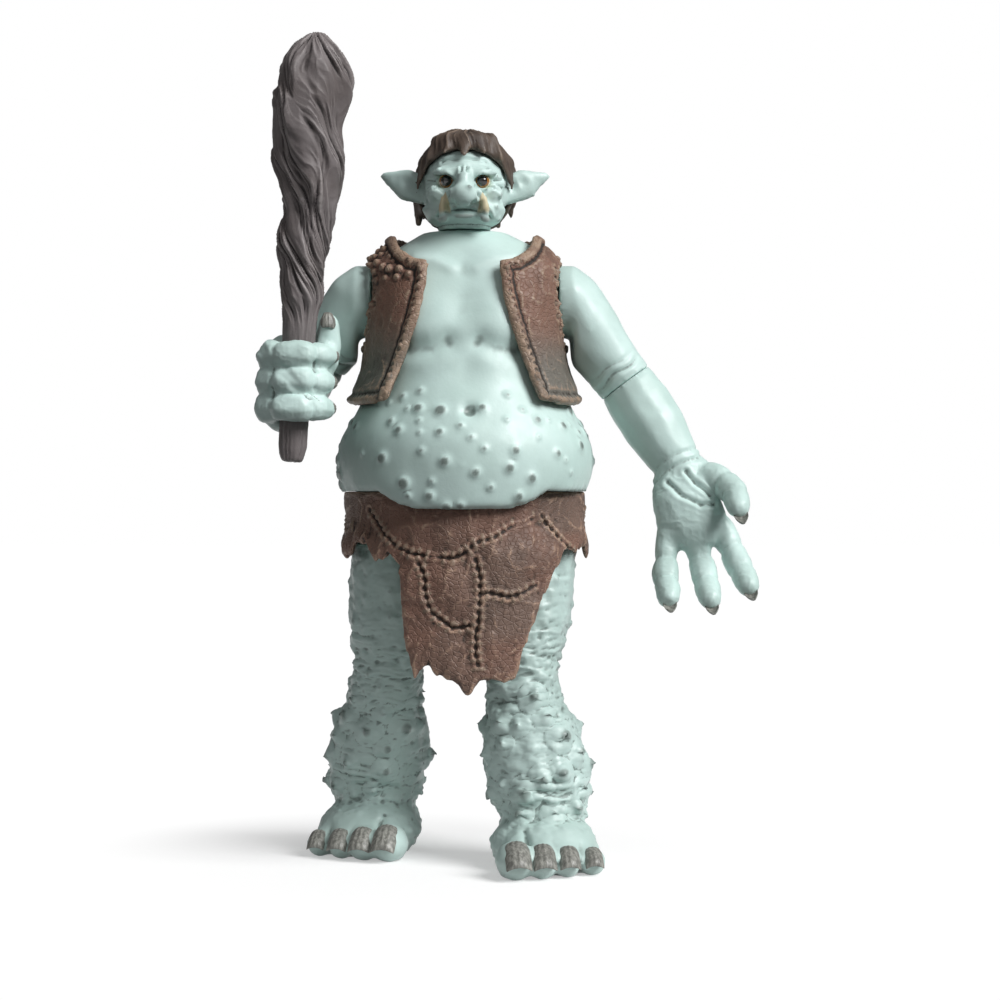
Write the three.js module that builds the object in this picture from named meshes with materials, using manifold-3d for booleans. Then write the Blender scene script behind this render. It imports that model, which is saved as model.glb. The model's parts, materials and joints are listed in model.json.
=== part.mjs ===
// A moulded play figurine of a troll: a pot-bellied hill troll in a hide vest and a ragged hide kilt,
// with a gnarled club in its right fist. Head, waist, shoulders and elbows turn on mushroom pegs, and
// the club slides up out of the fist.
// Millimetres, +Z up. The troll faces -Y, so its left side is +X. Heights are measured from the floor,
// and X and Y from the middle of the waist, until the last lines centre the figure over the origin.
import * as THREE from "three";
import { mergeVertices } from "three/addons/utils/BufferGeometryUtils.js";
import Module from "manifold-3d";

const wasm = await Module();
wasm.setup();

// Clearances
const SEAM = 0.3; // between two mouldings that meet
const RUN = 0.2; // round a peg that turns in its socket
const GLUED = 0.1; // round a peg that is glued in its socket

// Legs and feet
const ANKLE_HEIGHT = 14;
const SHANK_LENGTH = 20; // ankle to knee, measured upright
const THIGH_LENGTH = 28.9; // knee to the top of the leg, measured upright
const THIGH_RADIUS = 9.4;
const KNEE_RADIUS = 7;
const CALF_RADIUS = 10.2;
const ANKLE_RADIUS = 9.8;
const FOOT_LENGTH = 26; // from behind the heel to the roots of the toes
const FOOT_WIDTH = 21.5;
const FOOT_HEIGHT = 14;
const TOE_RADIUS = 4.1;
const TOE_COUNT = 4;
const DOWEL_RADIUS = 3;
const DOWEL_LENGTH = 14;

// Hips and kilt
const HIPS_DEPTH = 10.5; // height of the block inside the kilt
const HIP_SPACING = 26;
const KILT_WALL = 1.8;
const KILT_FIT = 0.5; // between the kilt and the hips inside it
const KILT_SIDE = 25.6;
const KILT_FRONT = 22.8;
const KILT_BACK = 18.6;
const KILT_SIDE_HEM = 12.5; // below the waist plane
const KILT_FRONT_HEM = 37.5;
const KILT_BACK_HEM = 27;
const KILT_SEAM_REACH = 2.6; // how far from a seam the hide is drawn in
const KILT_SEAM_START = THREE.MathUtils.degToRad(-66); // where the turn round the kilt is counted from
const KILT_DRAWN_IN = 0.9;
const KILT_FOLDS = 9; // all round
const KILT_FOLD_DEPTH = 0.7;

// Torso
const TORSO_HEIGHT = 51.5; // waist to neck seam
const BELLY_SIDE = 26;
const BELLY_FRONT = 25.4;
const BELLY_BACK = 18;
const CHEST_SIDE = 18.4;
const CHEST_FRONT = 15;
const CHEST_BACK = 16;
const NECK_RADIUS = 8.6;
const TORSO_WALL = 2.4;
const APRON_DROP = 4.6; // how far the belly hangs below the waist plane
const APRON_WALL = 2.7; // its thickness in the middle
const APRON_HALF_ANGLE = THREE.MathUtils.degToRad(44);

// Vest
const VEST_WALL = 2;
const VEST_FIT = 0.55; // between the vest and the skin under it
const VEST_HEM = 17; // above the waist plane
const VEST_COLLAR = 2.6; // below the neck seam
const VEST_LAPEL_DROP = 5; // how far the neckline falls from the nape to the front edges
const VEST_OPEN_TOP = THREE.MathUtils.degToRad(18); // half the opening at the neckline
const VEST_OPEN_HEM = THREE.MathUtils.degToRad(38); // and at the hem
const ARMHOLE_RADIUS = 8.5;
const ARM_CLEARANCE = 0.6; // between the vest's side and an arm that turns against it

// Arms
const SHOULDER_DROP = 13.7; // below the neck seam
const SHOULDER_RADIUS = 7.3;
const UPPER_ARM_RADIUS = 6.2;
const ELBOW_RADIUS = 5.8;
const LEFT_PARTING = 0.4; // how far above the elbow the nearly straight left arm is parted
const RIGHT_PARTING = 6.4; // and the bent right arm
const FOREARM_RADIUS = 6.5;
const WRIST_RADIUS = 5;
const UPPER_ARM_LENGTH = 20.8;
const FOREARM_LENGTH = 19.6;
const PALM_LENGTH = 11.5;
const FINGER_RADIUS = 2.7;
const FINGER_LENGTH = 17.6;
const THUMB_LENGTH = 11;
const THUMB_RADIUS = 3;

// Club
const CLUB_LENGTH = 82.2;
const CLUB_HANDLE_RADIUS = 3.15; // where the fist holds it
const CLUB_TAIL_RADIUS = 2.7;
const CLUB_HEAD_RADIUS = 7;
const CLUB_STRANDS = 8; // round the head
const CLUB_STRAND_DEPTH = 0.8; // of the grooves between them
const CLUB_TWIST = -0.075; // of the strands, in radians a millimetre
const CLUB_KNOT_HEIGHT = 0.7;
const CLUB_BELOW_FIST = 7.7;
const FIST_HEIGHT = 15;
const FIST_PALM_RADIUS = 5.3; // of the flesh behind the club
const GRIP_CLEARANCE = 0.25;

// Head
const SKULL_SIDE = 8.8;
const SKULL_DEPTH = 9.4;
const SKULL_HEIGHT = 9.2;
const HAIR_THICKNESS = 1.7;
const HAIR_FIT = 0.45; // between the hair and the head under it
const LOCK_RADIUS = 2.8;
const NOSE_RADIUS = 2.9;
const EAR_LENGTH = 7.5;
const EAR_HALF_HEIGHT = 3.2;

// Pegs
const WAIST_PEG_RADIUS = 5;
const WAIST_PEG_REACH = 8; // into the hips
const NECK_PEG_RADIUS = 3.6;
const NECK_PEG_REACH = 8; // into the head
const SHOULDER_PEG_RADIUS = 3.2;
const SHOULDER_PEG_REACH = 5.4; // into the arm
const ELBOW_PEG_RADIUS = 2.1;
const ELBOW_PEG_REACH = 6.5; // into the upper arm
const ELBOW_PEG_SEAT = 5; // and into the forearm
const FLANGE_OVERHANG = 1.8; // how far a peg's head stands out round its shank
const FLANGE_THICKNESS = 1.6;

const ROUND_SIDES = 20; // sides of pegs and sockets
const TAU = 2 * Math.PI;
const V = (x, y, z) => new THREE.Vector3(x, y, z);

const skin = new THREE.MeshStandardMaterial({ color: "#b9d6cf", roughness: 0.45, metalness: 0 });
const hide = new THREE.MeshStandardMaterial({ color: "#6b4a3a", roughness: 0.7, metalness: 0 });
const wood = new THREE.MeshStandardMaterial({ color: "#61585a", roughness: 0.65, metalness: 0 });
const hairPaint = new THREE.MeshStandardMaterial({ color: "#4a3b34", roughness: 0.7, metalness: 0 });
const pegPlastic = new THREE.MeshStandardMaterial({ color: "#9aa5a2", roughness: 0.5, metalness: 0 });

// Solids

// A closed mesh as a solid, with its shared vertices merged and its collapsed triangles left out.
function solidOf(geometry) {
  const bare = new THREE.BufferGeometry();
  bare.setAttribute("position", geometry.getAttribute("position"));
  bare.setIndex(geometry.index);
  const merged = mergeVertices(bare, 1e-4);
  const kept = [];
  const corners = merged.index.array;
  for (let i = 0; i < corners.length; i += 3) {
    const [a, b, c] = [corners[i], corners[i + 1], corners[i + 2]];
    if (a !== b && b !== c && c !== a) kept.push(a, b, c);
  }
  const vertProperties = new Float32Array(merged.attributes.position.array);
  return new wasm.Manifold(new wasm.Mesh({ numProp: 3, vertProperties, triVerts: new Uint32Array(kept) }));
}

function join(...solids) {
  return solids.reduce((all, next) => all.add(next));
}

function cut(solid, ...tools) {
  return tools.reduce((left, tool) => left.subtract(tool), solid);
}

function meshOf(name, solid, material) {
  const { vertProperties, triVerts } = solid.getMesh();
  const geometry = new THREE.BufferGeometry();
  geometry.setAttribute("position", new THREE.BufferAttribute(new Float32Array(vertProperties), 3));
  geometry.setIndex(new THREE.BufferAttribute(new Uint32Array(triVerts), 1));
  geometry.computeVertexNormals();
  const mesh = new THREE.Mesh(geometry, material);
  mesh.name = name;
  return mesh;
}

// A skin through rings of points that run anticlockwise round the way they travel, closed by a fan at
// each end.
function loft(rings, startTip, endTip) {
  const sides = rings[0].length;
  const middle = (ring) => ring.reduce((sum, p) => sum.add(p), V(0, 0, 0)).divideScalar(sides);
  const last = rings.length - 1;
  const points = [...rings.flat(), startTip ?? middle(rings[0]), endTip ?? middle(rings[last])];
  const start = points.length - 2;
  const end = points.length - 1;
  const index = [];
  for (let j = 0; j < sides; j++) {
    const next = (j + 1) % sides;
    index.push(start, next, j, end, last * sides + j, last * sides + next);
    for (let i = 0; i < last; i++) {
      const [a, b] = [i * sides + j, i * sides + next];
      index.push(a, b, b + sides, a, b + sides, a + sides);
    }
  }
  return solidOf(new THREE.BufferGeometry().setFromPoints(points).setIndex(index));
}

// A sheet of even thickness from rings of points that run up one face and back down the other. It is
// closed on itself, or ends in an edge as thick as the sheet.
function sheet(rings, closed) {
  const sides = rings[0].length;
  const index = [];
  const strips = closed ? rings.length : rings.length - 1;
  for (let i = 0; i < strips; i++) {
    const [here, there] = [i * sides, ((i + 1) % rings.length) * sides];
    for (let j = 0; j < sides; j++) {
      const next = (j + 1) % sides;
      index.push(here + j, here + next, there + next, here + j, there + next, there + j);
    }
  }
  const last = strips * sides;
  for (let j = 0; !closed && j < sides / 2 - 1; j++) {
    const [a, b, c, d] = [j, j + 1, sides - 2 - j, sides - 1 - j];
    index.push(a, d, c, a, c, b, last + a, last + b, last + c, last + a, last + c, last + d);
  }
  return solidOf(new THREE.BufferGeometry().setFromPoints(rings.flat()).setIndex(index));
}

// Two axes square to a direction, turned so that the first lies as near to the hint as it can.
function crossAxes(direction, hint) {
  const second = direction.clone().cross(hint).normalize();
  return [second.clone().cross(direction).normalize(), second];
}

function ringAt(centre, axes, radii, sides) {
  return Array.from({ length: sides }, (_, j) => {
    const angle = (TAU * j) / sides;
    return centre
      .clone()
      .addScaledVector(axes[0], radii[0] * Math.cos(angle))
      .addScaledVector(axes[1], radii[1] * Math.sin(angle));
  });
}

const evenly = (low, high, steps) =>
  Array.from({ length: steps + 1 }, (_, i) => THREE.MathUtils.lerp(low, high, i / steps));

// A smooth run through evenly spaced values.
function glide(values, t) {
  const curve = new THREE.SplineCurve(values.map((value, i) => new THREE.Vector2(i, value)));
  return curve.getPoint(THREE.MathUtils.clamp(t, 0, 1)).y;
}

// A limb: a round or oval section carried along a smooth path, with domed ends. The first radius lies
// towards the hint, and flat is the second radius as a share of it.
function limb(path, radii, { sides = 12, steps = 6, hint = V(0, -1, 0), flat = 1 } = {}) {
  const curve = new THREE.CatmullRomCurve3(path);
  const dome = [[0.5, 0.87], [0.87, 0.5]]; // shares of the radius: the ring's size, and how far out it lies
  const place = (t, out) => curve.getPoint(t).addScaledVector(curve.getTangent(t), out * glide(radii, t));
  const ring = (t, shrink, out) => {
    const radius = glide(radii, t) * shrink;
    return ringAt(place(t, out), crossAxes(curve.getTangent(t), hint), [radius, radius * flat], sides);
  };
  const rings = [
    ...dome.map(([shrink, out]) => ring(0, shrink, -out)),
    ...evenly(0, 1, steps).map((t) => ring(t, 1, 0)),
    ...dome.toReversed().map(([shrink, out]) => ring(1, shrink, out)),
  ];
  return loft(rings, place(0, -1), place(1, 1));
}

function ellipsoid(centre, [rx, ry, rz], across = 16, up = 10) {
  const sphere = new THREE.SphereGeometry(1, across, up);
  return solidOf(sphere.scale(rx, ry, rz).translate(centre.x, centre.y, centre.z));
}

// A round solid from points [radius, distance], turned about a line that starts at base.
function turned(profile, base, direction, sides = ROUND_SIDES) {
  const lathe = new THREE.LatheGeometry(profile.map(([r, z]) => new THREE.Vector2(r, z)), sides);
  const turn = new THREE.Quaternion().setFromUnitVectors(V(0, 1, 0), direction.clone().normalize());
  return solidOf(lathe.applyQuaternion(turn).translate(base.x, base.y, base.z));
}

function rod(base, direction, radius, length, sides = ROUND_SIDES) {
  return turned([[0, 0], [radius, 0], [radius, length], [0, length]], base, direction, sides);
}

// The half of space on the far side of a plane, as a block large enough for this figure.
function beyond(point, direction) {
  const reach = 400;
  const block = new THREE.BoxGeometry(reach, reach, reach).translate(0, 0, reach / 2);
  const turn = new THREE.Quaternion().setFromUnitVectors(V(0, 0, 1), direction.clone().normalize());
  return solidOf(block.applyQuaternion(turn).translate(point.x, point.y, point.z));
}

// A mushroom peg: its head sits in the piece that turns on it or that it turns in, its shank is glued
// in the other. spare widens it all round into the socket that it needs.
function mushroomPeg(headFace, direction, radius, length, spare = 0) {
  const headRadius = radius + FLANGE_OVERHANG + 2 * spare;
  const shank = radius + spare;
  return turned(
    [
      [0, -spare],
      [headRadius, -spare],
      [headRadius, FLANGE_THICKNESS + spare],
      [shank, FLANGE_THICKNESS + spare],
      [shank, length + spare],
      [0, length + spare],
    ],
    headFace,
    direction,
  );
}

// Levels
const legTop = ANKLE_HEIGHT + SHANK_LENGTH + THIGH_LENGTH;
const WAIST_Z = legTop + SEAM + HIPS_DEPTH; // the parting plane between torso and hips
const neckZ = WAIST_Z + TORSO_HEIGHT; // and the one between torso and head
const shoulderZ = neckZ - SHOULDER_DROP;

// Torso

// Sections from the hanging belly up to the neck: height above the waist, then the reach to the side,
// front and back. A higher square makes a squarer section.
const shoulderLevel = TORSO_HEIGHT - SHOULDER_DROP;
const [belly, chest] = [
  { side: BELLY_SIDE, front: BELLY_FRONT, back: BELLY_BACK },
  { side: CHEST_SIDE, front: CHEST_FRONT, back: CHEST_BACK },
];
const section = (z, square, base, [side, front, back]) => ({
  z,
  square,
  side: base.side * side,
  front: base.front * front,
  back: base.back * back,
});
const TORSO_SECTIONS = [
  section(-6, 2.1, belly, [0.9, 0.94, 0.94]),
  section(0, 2.1, belly, [0.955, 0.99, 0.97]),
  section(TORSO_HEIGHT * 0.15, 2.1, belly, [1, 1, 1]),
  section(TORSO_HEIGHT * 0.28, 2.15, belly, [0.87, 0.9, 0.95]),
  section(TORSO_HEIGHT * 0.45, 2.2, chest, [1.02, 1.24, 1]),
  section(TORSO_HEIGHT * 0.6, 2.3, chest, [0.985, 1.12, 1.02]),
  section(shoulderLevel, 2.35, chest, [1, 1, 1]),
  section(TORSO_HEIGHT - 7, 2.3, chest, [0.96, 0.85, 0.95]),
  section(TORSO_HEIGHT - 3, 2.15, chest, [0.76, 0.68, 0.8]),
  { z: TORSO_HEIGHT, side: NECK_RADIUS, front: NECK_RADIUS * 0.9, back: NECK_RADIUS, square: 2 },
];

// Sections are joined by smooth curves. The value of one measure at a height above the waist.
function sectionValue(sections, key, z) {
  const slope = (i) => {
    const [a, b] = [sections[Math.max(i - 1, 0)], sections[Math.min(i + 1, sections.length - 1)]];
    return (b[key] - a[key]) / (b.z - a.z);
  };
  const top = sections.length - 2;
  const i = Math.max(0, Math.min(top, sections.findIndex((s) => s.z > z) - 1));
  const here = z >= sections[top + 1].z ? top : i;
  const [a, b] = [sections[here], sections[here + 1]];
  const span = b.z - a.z;
  const t = THREE.MathUtils.clamp((z - a.z) / span, 0, 1);
  const [t2, t3] = [t * t, t * t * t];
  return (
    a[key] * (2 * t3 - 3 * t2 + 1) +
    b[key] * (3 * t2 - 2 * t3) +
    span * (slope(here) * (t3 - 2 * t2 + t) + slope(here + 1) * (t3 - t2))
  );
}

// A point on a body given by sections. Angle 0 is the front, and it grows towards the troll's left.
function sectionPoint(sections, angle, z) {
  const measure = (key) => sectionValue(sections, key, z);
  const power = 2 / measure("square");
  const bend = (value) => Math.sign(value) * Math.abs(value) ** power;
  const [front, left] = [Math.cos(angle), Math.sin(angle)];
  const reach = front > 0 ? measure("front") : measure("back");
  return V(measure("side") * bend(left), -reach * bend(front), WAIST_Z + z);
}

// The same point moved off the surface along its normal.
function offsetPoint(sections, angle, z, offset) {
  const small = 0.02;
  const round = sectionPoint(sections, angle + small, z).sub(sectionPoint(sections, angle - small, z));
  const up = sectionPoint(sections, angle, z + small).sub(sectionPoint(sections, angle, z - small));
  return sectionPoint(sections, angle, z).addScaledVector(round.cross(up).normalize(), offset);
}

function bodyLoft(sections, heights, offset, sides) {
  const ring = (z) =>
    Array.from({ length: sides }, (_, j) => offsetPoint(sections, (TAU * j) / sides, z, offset));
  return loft(heights.map(ring));
}

// The fold of belly that hangs in front of the kilt: deepest in the middle and faded out at its ends.
const apronInside = BELLY_FRONT - APRON_WALL;

function bellyApron() {
  const steps = 12;
  const overlap = 1.2; // how far it reaches up into the torso's bottom wall
  const rows = Array.from({ length: steps + 1 }, (_, i) => {
    const share = (2 * i) / steps - 1;
    const angle = share * APRON_HALF_ANGLE;
    const low = 0.3 * overlap - (APRON_DROP + 0.3 * overlap) * (1 - share ** 4);
    const outer = (z) => offsetPoint(TORSO_SECTIONS, angle, z, -0.01);
    const inner = (z) => V(apronInside * Math.sin(angle), -apronInside * Math.cos(angle), WAIST_Z + z);
    const middle = THREE.MathUtils.lerp(overlap, low, 0.6);
    return [outer(overlap), outer(middle), inner(low).lerp(outer(low), 0.75), inner(low), inner(overlap)];
  });
  return loft(rows);
}

// The torso's outer form, or the same form grown for what has to clear it.
function torsoForm(grow) {
  const heights = [...evenly(0, shoulderLevel, 8), ...evenly(TORSO_HEIGHT - 9, TORSO_HEIGHT, 4)];
  return bodyLoft(TORSO_SECTIONS, heights, grow, 26);
}

function torsoHollow() {
  const heights = [TORSO_WALL, ...evenly(TORSO_HEIGHT * 0.15, TORSO_HEIGHT - TORSO_WALL, 6)];
  return bodyLoft(TORSO_SECTIONS, heights, -TORSO_WALL, 18);
}

// Pegs, each with its head inside the piece on one side of a parting face.
const throughWall = FLANGE_THICKNESS + TORSO_WALL + 2 * SEAM;
const waistPegHead = V(0, 0, WAIST_Z + TORSO_WALL + SEAM + FLANGE_THICKNESS);
const neckPegHead = V(0, 0, neckZ - TORSO_WALL - SEAM - FLANGE_THICKNESS);
// The round root of an arm begins at the disc, and the arm spreads out over the vest from the face.
const shoulderDisc = CHEST_SIDE + SEAM;
const shoulderFace = CHEST_SIDE + VEST_FIT + VEST_WALL + ARM_CLEARANCE;
const shoulderPegX = CHEST_SIDE - TORSO_WALL - SEAM - FLANGE_THICKNESS;
const shoulderPegHead = (side) => V(side * shoulderPegX, 0, shoulderZ);
const outward = (side) => V(side, 0, 0);

const waistPeg = (spare) =>
  mushroomPeg(waistPegHead, V(0, 0, -1), WAIST_PEG_RADIUS, throughWall + WAIST_PEG_REACH, spare);
const neckPeg = (spare) =>
  mushroomPeg(neckPegHead, V(0, 0, 1), NECK_PEG_RADIUS, throughWall + NECK_PEG_REACH, spare);
const shoulderPegLength = throughWall + SHOULDER_PEG_REACH;
const shoulderPeg = (side, spare) =>
  mushroomPeg(shoulderPegHead(side), outward(side), SHOULDER_PEG_RADIUS, shoulderPegLength, spare);

// Half a torso: the shell, less the far half, the peg holes and what the peg heads need inside.
function torsoShell(side) {
  const seamGap = SEAM / 2;
  const holes = [waistPeg(RUN), neckPeg(RUN), shoulderPeg(-1, RUN), shoulderPeg(1, RUN)];
  const otherHalf = beyond(V(0, side * seamGap, 0), V(0, -side, 0));
  return cut(join(torsoForm(0), bellyApron()), torsoHollow(), otherHalf, ...holes);
}

// Vest

const smooth = () => 0;

// A cloth over a body. Its columns run from the angle first(share) to last(share), at each share of its
// height, and low and high give its bottom and top at each angle. It is of even thickness apart from the
// dents in its outer face.
function clothColumns(sections, { first, last, low, high, inner, outer, dent = smooth, across, up }) {
  const column = (i, offset, sink) =>
    Array.from({ length: up + 1 }, (_, j) => {
      const share = j / up;
      const angle = THREE.MathUtils.lerp(first(share), last(share), i / across);
      const z = THREE.MathUtils.lerp(low(angle), high(angle), share);
      return offsetPoint(sections, angle, z, offset - sink(angle, z));
    });
  return Array.from({ length: across + 1 }, (_, i) => [
    ...column(i, inner, smooth),
    ...column(i, outer, dent).toReversed(),
  ]);
}

const vestOpening = (share) =>
  THREE.MathUtils.lerp(VEST_OPEN_HEM, VEST_OPEN_TOP, THREE.MathUtils.smoothstep(share, 0, 0.9));

function vestNeckline(angle) {
  const fromFront = Math.min(angle, TAU - angle);
  const lapel = 1 - THREE.MathUtils.smoothstep(fromFront, VEST_OPEN_TOP, 1.25);
  return TORSO_HEIGHT - VEST_COLLAR - VEST_LAPEL_DROP * lapel;
}

function vestSolid() {
  const columns = clothColumns(TORSO_SECTIONS, {
    first: vestOpening,
    last: (share) => TAU - vestOpening(share),
    low: (angle) => VEST_HEM + 0.7 * Math.cos(3 * angle),
    high: vestNeckline,
    inner: VEST_FIT,
    outer: VEST_FIT + VEST_WALL,
    across: 30,
    up: 7,
  });
  const armholes = [-1, 1].map((side) =>
    rod(V((side * CHEST_SIDE) / 2, 0, shoulderZ), outward(side), ARMHOLE_RADIUS, CHEST_SIDE),
  );
  return cut(sheet(columns, false), torsoForm(SEAM), ...armholes);
}

// Hips, kilt and legs

// The kilt's sections, with heights above the waist plane as on the torso. Its top is narrow enough in
// front to turn inside the belly's fold.
const kiltTopFront = apronInside - SEAM - 0.35;
const kiltLipZ = -APRON_DROP - SEAM;
const KILT_SECTIONS = [
  { z: -45, side: KILT_SIDE * 0.96, front: KILT_FRONT, back: KILT_BACK, square: 2.2 },
  { z: -24, side: KILT_SIDE, front: KILT_FRONT, back: KILT_BACK, square: 2.2 },
  { z: -12, side: KILT_SIDE * 0.99, front: KILT_FRONT, back: KILT_BACK * 0.97, square: 2.1 },
  { z: kiltLipZ, side: KILT_SIDE * 0.955, front: kiltTopFront, back: KILT_BACK * 0.93, square: 1.8 },
  { z: 0, side: KILT_SIDE * 0.95, front: kiltTopFront - 0.3, back: KILT_BACK * 0.91, square: 1.78 },
];

// How far down the hide reaches at an angle: a long front flap that is cut steeply on the troll's right
// and slants on its left, a shorter back flap, high sides, and ragged tongues all round.
function kiltHem(angle) {
  const toLeft = angle > Math.PI ? angle - TAU : angle;
  const steepEdge = THREE.MathUtils.smoothstep(toLeft, -0.54, -0.38);
  const slantEdge = 1 - THREE.MathUtils.smoothstep(toLeft, 0.3, 0.85);
  const front = steepEdge * slantEdge;
  const back = THREE.MathUtils.smoothstep(-Math.cos(angle), 0.3, 0.9);
  const ragged = 1.2 * Math.sin(9 * angle + 0.6) + 0.9 * Math.sin(16 * angle + 2);
  const toFront = (KILT_FRONT_HEM - KILT_SIDE_HEM) * front;
  const toBack = (KILT_BACK_HEM - KILT_SIDE_HEM) * back;
  return -(KILT_SIDE_HEM + toFront + toBack + ragged);
}

// The lines along which the kilt's patches are sewn together: degrees round from the front, and height
// above the waist plane.
const KILT_SEAMS = [
  [[-56, -4], [-44, -9], [-26, -12.5], [-6, -13], [14, -9.5], [30, -6.5], [44, -5]],
  [[7, -13], [9, -20], [6, -28], [9, -35]],
  [[9, -19.5], [24, -20.5], [38, -18]],
  [[-22, -14], [-16, -23], [-4, -27], [6, -26]],
  [[44, -5], [50, -9], [64, -12]],
  [[80, -3], [92, -7], [118, -9]],
  [[128, -3], [138, -12], [158, -16], [176, -13]],
  [[176, -4], [182, -16], [190, -26]],
  [[204, -16], [226, -10], [244, -8]],
  [[262, -3], [274, -8], [292, -7]],
];
const kiltPlace = (angle, z) => V(angle * KILT_FRONT, z, 0);
const seamStretches = KILT_SEAMS.flatMap((seam) =>
  seam.slice(1).map((end, i) => {
    const [from, to] = [seam[i], end].map(([turn, z]) => kiltPlace(THREE.MathUtils.degToRad(turn), z));
    return new THREE.Line3(from, to);
  }),
);

// The hide is drawn in along its seams and hangs in soft folds, but not where it turns under the belly.
function kiltDent(angle, z) {
  const point = sectionPoint(KILT_SECTIONS, angle, z);
  const turn = Math.atan2(point.x, -point.y);
  const here = kiltPlace(turn < KILT_SEAM_START ? turn + TAU : turn, z);
  const reach = (line) => line.closestPointToPoint(here, true, V(0, 0, 0)).distanceTo(here);
  const nearest = Math.min(...seamStretches.map(reach));
  const drawn = KILT_DRAWN_IN * Math.exp(-((nearest / KILT_SEAM_REACH) ** 2));
  const hanging = THREE.MathUtils.smoothstep(-z, 6, 22);
  const fold = (KILT_FOLD_DEPTH / 2) * (1 + Math.cos(KILT_FOLDS * turn + 0.1 * z)) * hanging;
  return Math.max(drawn, fold) * THREE.MathUtils.smoothstep(-z, 2, 7);
}

function kiltSolid() {
  const across = 84;
  const columns = clothColumns(KILT_SECTIONS, {
    first: () => 0,
    last: () => TAU,
    low: kiltHem,
    high: () => -SEAM,
    inner: -KILT_WALL,
    outer: 0,
    dent: kiltDent,
    across,
    up: 9,
  });
  return sheet(columns.slice(0, across), true);
}

// The block inside the kilt, with a socket for the waist peg and one for each leg's dowel.
const hipPlace = (side) => V((side * HIP_SPACING) / 2, 0, legTop);
const dowelBase = (side) => hipPlace(side).add(V(0, 0, -DOWEL_LENGTH / 2));
const hipDowel = (side) => rod(dowelBase(side), V(0, 0, 1), DOWEL_RADIUS, DOWEL_LENGTH);

function dowelSocket(side) {
  const base = dowelBase(side).add(V(0, 0, -GLUED));
  return rod(base, V(0, 0, 1), DOWEL_RADIUS + GLUED, DOWEL_LENGTH + 2 * GLUED);
}

function hipsSolid() {
  const block = bodyLoft(KILT_SECTIONS, [-HIPS_DEPTH - 3, -7, -APRON_DROP, 0], -KILT_WALL - KILT_FIT, 28);
  const below = beyond(V(0, 0, WAIST_Z - HIPS_DEPTH), V(0, 0, -1));
  const above = beyond(V(0, 0, WAIST_Z - SEAM), V(0, 0, 1));
  return cut(block, below, above, waistPeg(GLUED), dowelSocket(-1), dowelSocket(1));
}

// A leg and its bare foot. knee and ankle are how far they lie from the hip's place, to the side and
// back, and heading is which way the toes point.
function legSolid(side, { knee, ankle, heading }) {
  const hip = hipPlace(side);
  const kneeAt = hip.clone().add(V(side * knee[0], knee[1], -THIGH_LENGTH));
  const ankleAt = hip.clone().add(V(side * ankle[0], ankle[1], -THIGH_LENGTH - SHANK_LENGTH));
  const calf = kneeAt.clone().lerp(ankleAt, 0.5).add(V(0, 0.8, 0));
  const shank = limb(
    [hip.clone().add(V(0, 0, 3)), hip.clone().lerp(kneeAt, 0.45), kneeAt, calf, ankleAt],
    [THIGH_RADIUS, THIGH_RADIUS, KNEE_RADIUS, CALF_RADIUS, ANKLE_RADIUS],
    { sides: 12, steps: 7 },
  );
  const ahead = V(Math.sin(heading), -Math.cos(heading), 0);
  const across = V(-ahead.y, ahead.x, 0);
  const heel = ankleAt.clone().setZ(0).addScaledVector(ahead, -ANKLE_RADIUS);
  const onFoot = (forward, up, sideways = 0) =>
    heel.clone().addScaledVector(ahead, forward).addScaledVector(across, sideways).setZ(up);
  const middle = FOOT_HEIGHT * 0.32;
  const foot = limb(
    [
      onFoot(FOOT_LENGTH * 0.3, middle),
      onFoot(FOOT_LENGTH * 0.42, middle * 1.1),
      onFoot(FOOT_LENGTH * 0.54, middle),
      onFoot(FOOT_LENGTH * 0.64, middle * 0.9),
    ],
    [FOOT_WIDTH * 0.43, FOOT_WIDTH * 0.46, FOOT_WIDTH * 0.5, FOOT_WIDTH * 0.49],
    { sides: 12, steps: 3, hint: across, flat: FOOT_HEIGHT / FOOT_WIDTH },
  );
  const toes = evenly(0, 1, TOE_COUNT - 1).map((share) => {
    const radius = TOE_RADIUS * (1 - 0.28 * share); // from the big toe on the inside to the smallest
    const sideways = side * THREE.MathUtils.lerp(-0.35, 0.36, share) * FOOT_WIDTH;
    const forward = FOOT_LENGTH * (1.04 - 0.13 * share * share);
    return ellipsoid(onFoot(forward, radius * 0.8, sideways), [radius, radius * 1.25, radius], 8, 6);
  });
  const below = beyond(V(0, 0, 0), V(0, 0, -1));
  const above = beyond(hip, V(0, 0, 1));
  return cut(join(shank, foot, ...toes), below, above, dowelSocket(side));
}

// Arms

// Where an arm's parts lie. The elbow and wrist are found from the shoulder by two directions.
function armPlan(side, upperDirection, foreDirection, partingAbove) {
  const shoulder = V(side * (shoulderFace - 1.5), 0, shoulderZ);
  const upper = upperDirection.clone().normalize();
  const fore = foreDirection.clone().normalize();
  const elbow = shoulder.clone().addScaledVector(upper, UPPER_ARM_LENGTH);
  const parting = elbow.clone().addScaledVector(upper, -partingAbove);
  const wrist = elbow.clone().addScaledVector(fore, FOREARM_LENGTH);
  return { side, shoulder, upper, fore, elbow, parting, wrist };
}

function elbowPeg(arm, spare) {
  const head = arm.parting.clone().addScaledVector(arm.upper, ELBOW_PEG_SEAT);
  const length = ELBOW_PEG_SEAT + ELBOW_PEG_REACH;
  return mushroomPeg(head, arm.upper.clone().negate(), ELBOW_PEG_RADIUS, length, spare);
}

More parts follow.
